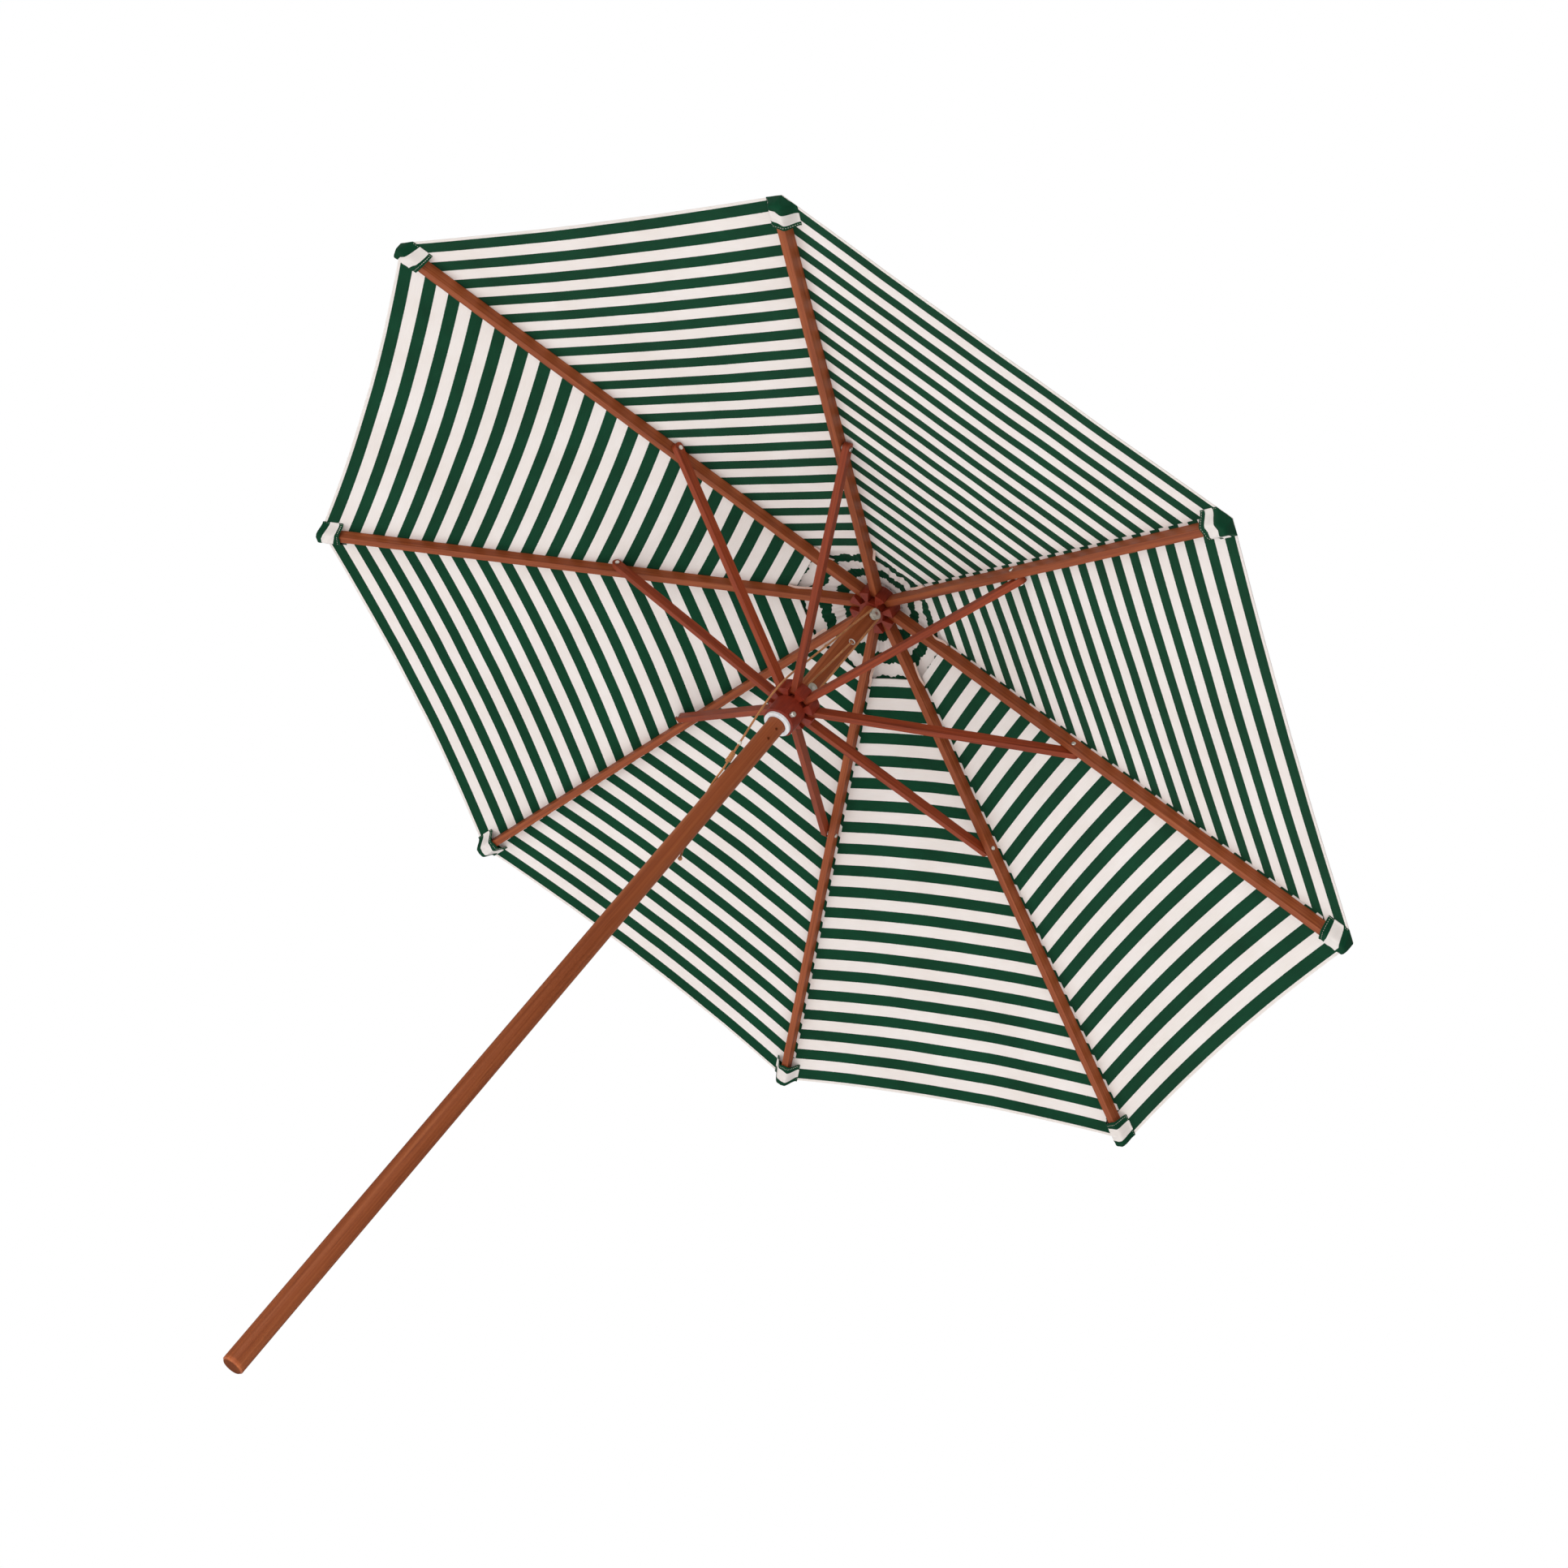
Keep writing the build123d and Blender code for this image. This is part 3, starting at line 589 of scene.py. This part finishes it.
pockets = [makePocket(index) for index in range(ribCount)]


# ---- seam allowance folded flat beside each rib ----
seam = {"width": 0.0135, "cloth": 0.0006, "gap": 0.0003, "curl": 0.0004, "inner": 0.19, "outer": 1.085,
        "rows": 90}


def seamPoint(index, across, along):
    reach = mixNumbers(seam["inner"], seam["outer"], along)
    x, y, height = clothBeside(index, reach, -across * seam["width"])
    curl = seam["curl"] * across * sin(reach * 140.0)
    return Vector((x, y, height - seam["gap"] - seam["cloth"] - curl))


def seamCut(across, along):
    # the strip is the next panel's edge turned over, so its stripes slant the other way
    reach = mixNumbers(seam["inner"], seam["outer"], along)
    level = reach * cos(halfPanel) - across * seam["width"] * sin(halfPanel)
    return (across * seam["width"], stripeDepth(1.0, level) + 0.5 * canvasCut["stripePitch"])


for index in range(ribCount):
    mesh = thinSheet(f"seamAllowance{index + 1}", evenSteps(4), evenSteps(seam["rows"]),
                     lambda across, along: seamPoint(index, across, along),
                     lambda across, along: seam["cloth"], seamCut)
    keepPiece(f"seamAllowance{index + 1}", mesh, f"rib_{index + 1}", canopyCanvas)
print("pockets and seams made")


# ---- the loose cap over the vent ----
cap = {
    "radius": 0.2145,
    "innerRadius": 0.046,
    "clearance": 0.0058,
    "edgeHollow": 0.004,
    "cloth": 0.0008,
    "puff": 0.006,
    "pucker": 0.0016,
    "crumples": (43.0, 6.0, 14.0),  # waves round the axis, how far noise bends them, its scale
    "sag": 0.0022,
    "folds": (17.0, 5.0, 9.0),
    "rippleStart": (0.05, 0.11),  # from the axis
    "looseBand": (0.035, 0.008),  # ripples fade out over this, inside the vent
    "seamRipple": 0.4,  # share of the ripple left at a seam
    "stripeWander": 0.0022,
    "greenEnd": 0.137,
    "foldedWidth": 0.3,
    "flatLength": 0.19,
    "ease": 1.075,  # flat area over level area
    "columns": 22,
    "rows": 40,
}
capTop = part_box("vent_cap_1")[1][2] - 0.0015
capEdgeLevel = cap["radius"] * cos(halfPanel)
capInnerLevel = cap["innerRadius"] * cos(halfPanel)
capEdgeHeight = ridgeApex - panelFall * capEdgeLevel + cap["clearance"]
capFall = (capTop - capEdgeHeight) / (capEdgeLevel - capInnerLevel)


def capWave(x, y, sizes, layer):
    count, bend, scale = sizes
    return sin(atan2(y, x) * count + bend * noise.noise(Vector((x * scale, y * scale, layer))))


def capRipple(x, y):
    crumple = capWave(x, y, cap["crumples"], 1.0)
    folds = capWave(x, y, cap["folds"], 4.0)
    return (cap["pucker"] * crumple + cap["sag"] * folds) * smooth(*cap["rippleStart"], hypot(x, y))


def capPoint(index, column, share):
    side = 1.0 - abs(column)
    level = mixNumbers(capInnerLevel, capEdgeLevel - cap["edgeHollow"] * (1.0 - side * side), share)
    x, y = panelPlace(index, column, level)
    slack = 1.0 - side ** 4
    flare = sin(pi * share)
    bandLow, bandHigh = cap["looseBand"]
    loose = 1.0 - smooth(ventLevel - bandLow, ventLevel - bandHigh, level)  # lies on the canopy beyond it
    ripple = capRipple(x, y) * loose * mixNumbers(cap["seamRipple"], 1.0, slack)
    lift = cap["puff"] * flare * slack + ripple
    return Vector((x, y, capTop - capFall * (level - capInnerLevel) + lift))


def capCut(column, share):
    side = 1.0 - abs(column)
    level = mixNumbers(capInnerLevel, capEdgeLevel, share)
    wander = sin(column * 9.0 + level * 60.0) + 0.6 * sin(column * 31.0 + level * 90.0)
    depth = 2.0 * canvasCut["capPitch"] + (cap["greenEnd"] - level) / cos(panelSlope)
    return (column * level * tan(halfPanel), depth + cap["stripeWander"] * wander)


def squashToRib(piece):
    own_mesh(piece)


capGores = []
for index in range(ribCount):
    name = f"ventCapGore{index + 1}"
    mesh = thinSheet(name, evenSteps(2 * cap["columns"], -1.0, 1.0), evenSteps(cap["rows"]),
                     lambda column, row: capPoint(index, column, row),
                     lambda column, row: cap["cloth"], capCut)
    piece = keepPiece(name, mesh, f"rib_{index + 1}", capCanvas)
    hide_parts(f"vent_cap_{index + 1}")
    capGores.append(piece)

capDisc = {"radius": 0.0525, "hole": 0.004, "flat": 0.043, "drop": 0.00108, "pleat": 0.0006, "pleats": 24.0,
           "cloth": 0.0009, "around": 96, "rings": 14}
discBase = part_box("cap_middle")[0][2] + 0.0002


def discPoint(around, outward):
    angle = 2.0 * pi * around
    away = mixNumbers(capDisc["hole"], capDisc["radius"], outward)
    fall = smooth(capDisc["flat"], capDisc["radius"], away)
    pleat = capDisc["pleat"] * fall * sin(angle * capDisc["pleats"])
    return Vector((away * cos(angle), away * sin(angle), discBase + pleat - capDisc["drop"] * fall))


discMesh = thinSheet("ventCapDisc", evenSteps(capDisc["around"]), evenSteps(capDisc["rings"]), discPoint,
                     lambda around, outward: capDisc["cloth"],
                     lambda around, outward: (around * 0.3, outward * capDisc["radius"] - 0.1))
shape = bmesh.new()
shape.from_mesh(discMesh)
bmesh.ops.remove_doubles(shape, verts=shape.verts, dist=0.00001)
shape.to_mesh(discMesh)
shape.free()
disc = keepPiece("ventCapDisc", discMesh, "root", capCanvas)
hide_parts("cap_middle")
print("vent cap made")


# ---- tape ties that hold the cap's corners down beside each rib ----
tie = {"width": 0.006, "cloth": 0.0007, "standOff": 0.0105, "bow": 0.002, "outer": 0.183, "inner": 0.135,
       "gap": 0.0022, "drop": 0.007, "wobble": 0.0012, "rows": 26}


def tiePoint(index, hand, across, along):
    bow = tie["bow"] * sin(pi * along)
    aside = hand * (tie["standOff"] + bow) + (across - 0.5) * tie["width"]
    x, y, height = clothBeside(index, mixNumbers(tie["outer"], tie["inner"], along), aside)
    hang = tie["drop"] * sin(pi * along) ** 2 + tie["wobble"] * sin(9.0 * along + 2.0 * index)
    return Vector((x, y, height - tie["gap"] - hang))


for index in range(ribCount):
    shape = bmesh.new()
    for hand in (-1.0, 1.0):
        part = thinSheet("tieTape", evenSteps(3), evenSteps(tie["rows"]),
                         lambda across, along: tiePoint(index, hand, across, along),
                         lambda across, along: tie["cloth"],
                         lambda across, along: (across * tie["width"], -0.002 - along * 0.001))
        shape.from_mesh(part)
        bpy.data.meshes.remove(part)
    mesh = bpy.data.meshes.new(f"capTies{index + 1}")
    shape.to_mesh(mesh)
    shape.free()
    keepPiece(f"capTies{index + 1}", mesh, f"rib_{index + 1}", finishes["tape"])


# ---- stitches, laid along paths by geometry nodes ----
stitch = {
    "spacing": 0.0044,
    "length": 0.0031,
    "width": 0.0007,
    "height": 0.0021,
    "hemInset": 0.0036,
    "facingInset": 0.013,
    "besideRib": 0.0048,
    "ribRun": (0.18, 1.12),
    "pocketEdge": 0.93,  # share of the pocket's half width
}


def socketNamed(tree, name):
    return next(item.identifier for item in tree.interface.items_tree
                if item.item_type == "SOCKET" and item.in_out == "INPUT" and item.name == name)


def stitchTree():
    tree = bpy.data.node_groups.new("stitchRow", "GeometryNodeTree")
    tree.interface.new_socket("Geometry", in_out="INPUT", socket_type="NodeSocketGeometry")
    for name in ("Spacing", "Length", "Width", "Height"):
        tree.interface.new_socket(name, in_out="INPUT", socket_type="NodeSocketFloat")
    tree.interface.new_socket("Thread", in_out="INPUT", socket_type="NodeSocketMaterial")
    tree.interface.new_socket("Geometry", in_out="OUTPUT", socket_type="NodeSocketGeometry")
    given = addNode(tree, "NodeGroupInput").outputs
    path = addNode(tree, "GeometryNodeMeshToCurve", links={"Mesh": given["Geometry"]})
    points = addNode(tree, "GeometryNodeResampleCurve", {"mode": "LENGTH"},
                     {"Curve": path.outputs[0], "Length": given["Spacing"]})
    bead = addNode(tree, "GeometryNodeMeshIcoSphere", {"Radius": 0.5, "Subdivisions": 1})
    size = addNode(tree, "ShaderNodeCombineXYZ",
                   links={"X": given["Length"], "Y": given["Width"], "Z": given["Height"]})
    tangent = addNode(tree, "GeometryNodeInputTangent")
    turn = addNode(tree, "FunctionNodeAlignRotationToVector", {"axis": "X"}, {"Vector": tangent.outputs[0]})
    laid = addNode(tree, "GeometryNodeInstanceOnPoints", links={
        "Points": points.outputs[0], "Instance": bead.outputs[0],
        "Rotation": turn.outputs[0], "Scale": size.outputs[0]})
    real = addNode(tree, "GeometryNodeRealizeInstances", links={0: laid.outputs[0]})
    links = {"Geometry": real.outputs[0], "Material": given["Thread"]}
    threaded = addNode(tree, "GeometryNodeSetMaterial", links=links)
    addNode(tree, "NodeGroupOutput", links={0: threaded.outputs[0]})
    return tree


stitchRow = stitchTree()


def layAlong(name, paths, tree, inputs):
    # paths become edges, the tree lays its pieces along them, and the result comes back as a plain mesh
    points, edges = [], []
    for path in paths:
        start = len(points)
        points += path
        edges += [(start + i, start + i + 1) for i in range(len(path) - 1)]
    guide = bpy.data.meshes.new(name + "Guide")
    guide.from_pydata(points, edges, [])
    carrier = bpy.data.objects.new(name + "Guide", guide)
    bpy.context.collection.objects.link(carrier)
    modifier = carrier.modifiers.new("laid", "NODES")
    modifier.node_group = tree
    for label, value in inputs.items():
        modifier[socketNamed(tree, label)] = value
    evaluated = carrier.evaluated_get(bpy.context.evaluated_depsgraph_get())
    mesh = bpy.data.meshes.new_from_object(evaluated)
    mesh.name = name
    carrier.modifiers.clear()
    bpy.data.objects.remove(carrier)
    return mesh


def stitchPaths(index, hand):
    lift = Vector((0.0, 0.0, 0.5 * canopyCloth["cloth"]))
    hemShare = 1.0 - stitch["hemInset"] / edgeLevel
    facingShare = stitch["facingInset"] / edgeLevel
    rows = [[panelPoint(index, hand * column, share) + lift for column in evenSteps(40, 0.002, 0.998)]
            for share in (hemShare, facingShare)]
    besideRib = []
    for reach in evenSteps(90, *stitch["ribRun"]):
        level = reach * cos(halfPanel)
        share = (level - ventLevel) / (edgeLevel - ventLevel)
        column = hand * stitch["besideRib"] / (level * tan(halfPanel))
        besideRib.append(panelPoint(index, column, share) + lift)
    return rows + [besideRib]


def pocketStitchPaths(index):
    edge = stitch["pocketEdge"]
    sideLift, mouthLift = Vector((0.0, 0.0, 0.0006)), Vector((0.0, 0.0, 0.0004))
    rows = [[pocketPoint(index, across, along) + sideLift for along in evenSteps(12, 0.04, 0.9)]
            for across in (-edge, edge)]
    rows.append([pocketPoint(index, across, 0.09) + mouthLift for across in evenSteps(24, -edge, edge)])
    return rows


stitchInputs = {"Spacing": stitch["spacing"], "Length": stitch["length"], "Width": stitch["width"],
                "Height": stitch["height"], "Thread": finishes["thread"]}
for index, hand, _ in halves:
    name = f"canopyStitches{sideName(hand)}{index + 1}"
    mesh = layAlong(name, stitchPaths(index, hand), stitchRow, stitchInputs)
    row = keepPiece(name, mesh, f"rib_{index + 1}", finishes["thread"])
    foldHalf(row)
for index in range(ribCount):
    mesh = layAlong(f"pocketStitches{index + 1}", pocketStitchPaths(index), stitchRow, stitchInputs)
    keepPiece(f"pocketStitches{index + 1}", mesh, f"rib_{index + 1}", finishes["thread"])
print("stitches laid")


# ---- the hoisting rope ----
rope = {"radius": 0.002, "strandRadius": 0.0012, "strandOffset": 0.0011, "strands": 3, "pitch": 0.013,
        "sides": 8, "step": 0.0009}
wheelTurn = 0.0116  # rope's centre round a wheel
wheelSeat = 0.0264
hookDistance = 0.024  # where a straight strand leaves a wheel


def below(x, y, drop):
    return Vector((x, y, hingeHeight - drop))


crownWheel = jointsByName["crown_pulley_spin"]["pos_m"][2]
runnerWheel = jointsByName["runner_pulley_spin"]["pos_m"][2]
under = hingeHeight - runnerWheel + wheelTurn
over = hingeHeight - crownWheel - wheelTurn
hoistRoute = [
    below(-0.001, -0.0304, 0.1333),
    below(-0.0110, -0.0267, under - hookDistance),
    below(-0.0124, -wheelSeat, under),
    below(wheelTurn, -wheelSeat, under),
    below(wheelTurn, -wheelSeat, under - hookDistance),
    below(wheelTurn, -wheelSeat, over + hookDistance),
    below(wheelTurn, -wheelSeat, over),
    below(-0.0100, -wheelSeat, over),
    below(-0.0136, -0.0266, over + hookDistance),
    below(-0.045, -0.028, 0.258),
    below(-0.055, -0.029, 0.318),
    below(-0.055, -0.025, 0.374),
    below(-0.047, -0.017, 0.430),
    below(-0.038, -0.011, 0.484),
    below(-0.032, -0.008, 0.522),
]
knotAxis = (hoistRoute[-1] - hoistRoute[-2]).normalized()
knotEnd = hoistRoute[-1] + knotAxis * 0.030
tailRoute = [
    knotEnd,
    knotEnd + knotAxis * 0.016,
    below(-0.019, 0.013, 0.588),
    below(-0.009, 0.023, 0.622),
    below(0.003, 0.025, 0.664),
    below(0.012, 0.023, 0.706),
    below(0.021, 0.015, 0.742),
    below(0.025, 0.004, 0.768),
]


def routeLine(name, points):
    curve = bpy.data.curves.new(name, "CURVE")
    curve.dimensions = "3D"
    curve.resolution_u = 24
    spline = curve.splines.new("NURBS")
    spline.points.add(len(points) - 1)
    for place, point in zip(spline.points, points):
        place.co = (*point, 1.0)
    spline.order_u = 3
    spline.use_endpoint_u = True
    holder = bpy.data.objects.new(name, curve)
    bpy.context.collection.objects.link(holder)
    mesh = bpy.data.meshes.new_from_object(holder.evaluated_get(bpy.context.evaluated_depsgraph_get()))
    line = [vertex.co.copy() for vertex in mesh.vertices]
    bpy.data.objects.remove(holder)
    bpy.data.meshes.remove(mesh)
    return line


def lineLength(line):
    return sum((b - a).length for a, b in zip(line, line[1:]))


def evenLine(line, step):
    count = max(2, ceil(lineLength(line) / step))
    wanted = lineLength(line) / count
    points, gone, target = [line[0]], 0.0, wanted
    for a, b in zip(line, line[1:]):
        run = (b - a).length
        while gone + run >= target - 1e-9 and len(points) < count:
            points.append(a.lerp(b, (target - gone) / run))
            target += wanted
        gone += run
    points.append(line[-1])
    return points


def carriedFrames(line):
    # two directions square to the line, carried along it with no twist of their own
    frames = []
    sideways = (line[1] - line[0]).normalized().orthogonal().normalized()
    for i, point in enumerate(line):
        before, after = line[max(i - 1, 0)], line[min(i + 1, len(line) - 1)]
        ahead = (after - before).normalized()
        sideways = (sideways - ahead * sideways.dot(ahead)).normalized()
        frames.append((point, sideways, ahead.cross(sideways)))
    return frames


def onRing(point, first, second, turn, radius):
    return point + (first * cos(turn) + second * sin(turn)) * radius


def addTube(shape, line, radius, sides):
    rings = []
    for point, first, second in carriedFrames(line):
        rings.append([shape.verts.new(onRing(point, first, second, 2.0 * pi * k / sides, radius))
                      for k in range(sides)])
    for low, high in zip(rings, rings[1:]):
        for k in range(sides):
            shape.faces.new((low[k], low[(k + 1) % sides], high[(k + 1) % sides], high[k]))
    shape.faces.new(rings[0])
    shape.faces.new(rings[-1])


def tubeMesh(name, paths, radius, sides):
    shape = bmesh.new()
    for path in paths:
        addTube(shape, path, radius, sides)
    bmesh.ops.recalc_face_normals(shape, faces=shape.faces)
    for face in shape.faces:
        face.smooth = True
    mesh = bpy.data.meshes.new(name)
    shape.to_mesh(mesh)
    shape.free()
    return mesh


def twistedMesh(name, line, sizes):
    frames = carriedFrames(evenLine(line, sizes["step"]))
    paths = []
    for strand in range(sizes["strands"]):
        path = []
        for i, (point, first, second) in enumerate(frames):
            turn = 2.0 * pi * (i * sizes["step"] / sizes["pitch"] + strand / sizes["strands"])
            path.append(onRing(point, first, second, turn, sizes["strandOffset"]))
        paths.append(path)
    return tubeMesh(name, paths, sizes["strandRadius"], sizes["sides"])


def makeRope(name, route, node):
    line = routeLine(name + "Route", route)
    piece = keepPiece(name, twistedMesh(name, line, rope), "root", finishes["cord"])
    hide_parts(node)
    return piece, line


hoist, hoistLine = makeRope("hoistRope", hoistRoute, "hoist_rope")
tail, tailLine = makeRope("ropeTail", tailRoute, "rope_tail")

knotSizes = {"length": 0.030, "radius": 0.0036, "turns": 5.5}
endKnotSizes = {"length": 0.010, "radius": 0.0022, "turns": 2.2}
knotShape = {"stepsPerTurn": 28, "inset": 0.003, "swell": (0.86, 0.22), "backInset": 0.002, "bulge": 0.35,
             "backTurn": (0.9, 2.2), "backSteps": 24, "sides": 9}


def wrappedKnot(name, start, axis, sizes, node):
    # rope wound round its own standing part, with one pass crossing back over the turns
    axis = axis.normalized()
    first = axis.orthogonal().normalized()
    second = axis.cross(first)
    length, radius, turns = sizes["length"], sizes["radius"], sizes["turns"]
    inset, backInset = knotShape["inset"], knotShape["backInset"]
    swellBase, swellMore = knotShape["swell"]
    turnFrom, turnRun = knotShape["backTurn"]
    line, back = [], []
    for share in evenSteps(int(turns * knotShape["stepsPerTurn"])):
        swell = radius * (swellBase + swellMore * sin(pi * share))
        point = start + axis * mixNumbers(inset, length - inset, share)
        line.append(onRing(point, first, second, 2.0 * pi * turns * share, swell))
    for share in evenSteps(knotShape["backSteps"]):
        bulge = radius * (1.0 + knotShape["bulge"] * sin(pi * share))
        point = start + axis * mixNumbers(length - backInset, backInset, share)
        back.append(onRing(point, first, second, turnFrom + turnRun * share, bulge))
    core = [start + axis * (length * k / 8.0) for k in range(9)]
    mesh = tubeMesh(name, (line, back, core), rope["radius"], knotShape["sides"])
    piece = keepPiece(name, mesh, "root", finishes["cord"])
    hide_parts(node)
    return piece


knot = wrappedKnot("ropeKnot", hoistRoute[-1], knotAxis, knotSizes, "rope_knot")
endAxis = (tailRoute[-1] - tailRoute[-2]).normalized()
endKnot = wrappedKnot("ropeEndKnot", tailRoute[-1], endAxis, endKnotSizes, "rope_end")
evenLine(hoistLine, 0.002)
evenLine(tailLine, 0.002)
print("ropes made")


# ---- each canopy half and cap gore gets a mesh of its own ----
for index, hand, half in halves:
    foldHalf(half)
for index in range(ribCount):
    squashToRib(capGores[index])


# ---- floor and light ----
floorSizes = {"depth": -0.0005, "reach": 14.0, "clearRun": 0.012, "pale": "#f6f5f3", "deep": "#efeeec"}


def makeFloor(sizes):
    # plain pale floor that the foot stands on; a view from under it looks through its back,
    # and its last centimetre lets light reach the end of the pole
    mesh = bpy.data.meshes.new("floor")
    reach, depth = sizes["reach"], sizes["depth"]
    corners = [(-reach, -reach, depth), (reach, -reach, depth), (reach, reach, depth), (-reach, reach, depth)]
    mesh.from_pydata(corners, [], [(0, 1, 2, 3)])
    floor = bpy.data.objects.new("floor", mesh)
    bpy.context.collection.objects.link(floor)
    material, tree = newMaterial("paleFloor")
    cloud = noiseOf(tree, objectPlace(tree), 0.8, 2.0)
    colour = ramp(tree, cloud, [(0.3, sizes["deep"]), (0.7, sizes["pale"])])
    matt = addNode(tree, "ShaderNodeBsdfDiffuse", links={"Color": colour})
    clear = addNode(tree, "ShaderNodeBsdfTransparent")
    back = addNode(tree, "ShaderNodeNewGeometry").outputs["Backfacing"]
    length = addNode(tree, "ShaderNodeLightPath").outputs["Ray Length"]
    seeThrough = wave(tree, "MAXIMUM", back, wave(tree, "LESS_THAN", length, sizes["clearRun"]))
    links = {0: seeThrough, 1: matt.outputs[0], 2: clear.outputs[0]}
    finishMaterial(tree, addNode(tree, "ShaderNodeMixShader", links=links))
    mesh.materials.append(material)


lighting = {
    "world": 0.17,
    "bounceLight": {"place": (0.0, 0.0, 0.0005), "target": (0.0, 0.0, 1.8), "size": 5.0, "power": 55.0,
                    "colour": "#ffffff"},
    "keyLight": {"place": (-3.6, -2.6, 0.9), "target": (0.0, 0.0, 1.5), "size": 1.6, "power": 34.0,
                 "colour": "#fffaf5"},
    "footLight": {"place": (-0.7, -1.0, -1.0), "target": (0.0, 0.0, 0.0), "size": 0.6, "power": 18.0,
                  "colour": "#ffffff"},
    "fillLight": {"place": (3.2, -3.0, 0.4), "target": (0.0, 0.0, 1.8), "size": 2.6, "power": 5.0,
                  "colour": "#f2f6ff"},
    "sky": {"power": 1.9, "angle": 70.0, "turn": (14.0, -10.0, 0.0)},
}


def softLight(name, sizes):
    light = bpy.data.lights.new(name, "AREA")
    light.energy = sizes["power"]
    light.size = sizes["size"]
    light.color = linear(sizes["colour"])[:3]
    holder = bpy.data.objects.new(name, light)
    holder.location = sizes["place"]
    towards = Vector(sizes["target"]) - Vector(sizes["place"])
    holder.rotation_euler = towards.to_track_quat("-Z", "Y").to_euler()
    holder.visible_camera = False
    bpy.context.collection.objects.link(holder)


def skyLight(sizes):
    light = bpy.data.lights.new("skyLight", "SUN")
    light.energy = sizes["power"]
    light.angle = radians(sizes["angle"])
    holder = bpy.data.objects.new("skyLight", light)
    holder.rotation_euler = [radians(angle) for angle in sizes["turn"]]
    bpy.context.collection.objects.link(holder)


def makeLight(sizes):
    world = bpy.data.worlds.new("softRoom")
    bpy.context.scene.world = world
    world.use_nodes = True
    tree = world.node_tree
    tree.nodes.clear()
    plain = addNode(tree, "ShaderNodeBackground", {"Color": linear("#ffffff"), "Strength": sizes["world"]})
    bright = addNode(tree, "ShaderNodeBackground", {"Color": linear("#ffffff"), "Strength": 1.0})
    seen = addNode(tree, "ShaderNodeLightPath").outputs["Is Camera Ray"]
    both = addNode(tree, "ShaderNodeMixShader", links={0: seen, 1: plain.outputs[0], 2: bright.outputs[0]})
    addNode(tree, "ShaderNodeOutputWorld", links={"Surface": both.outputs[0]})
    for name in ("bounceLight", "keyLight", "footLight"):
        softLight(name, sizes[name])
    skyLight(sizes["sky"])
    softLight("fillLight", sizes["fillLight"])


makeFloor(floorSizes)
makeLight(lighting)
print("light set")
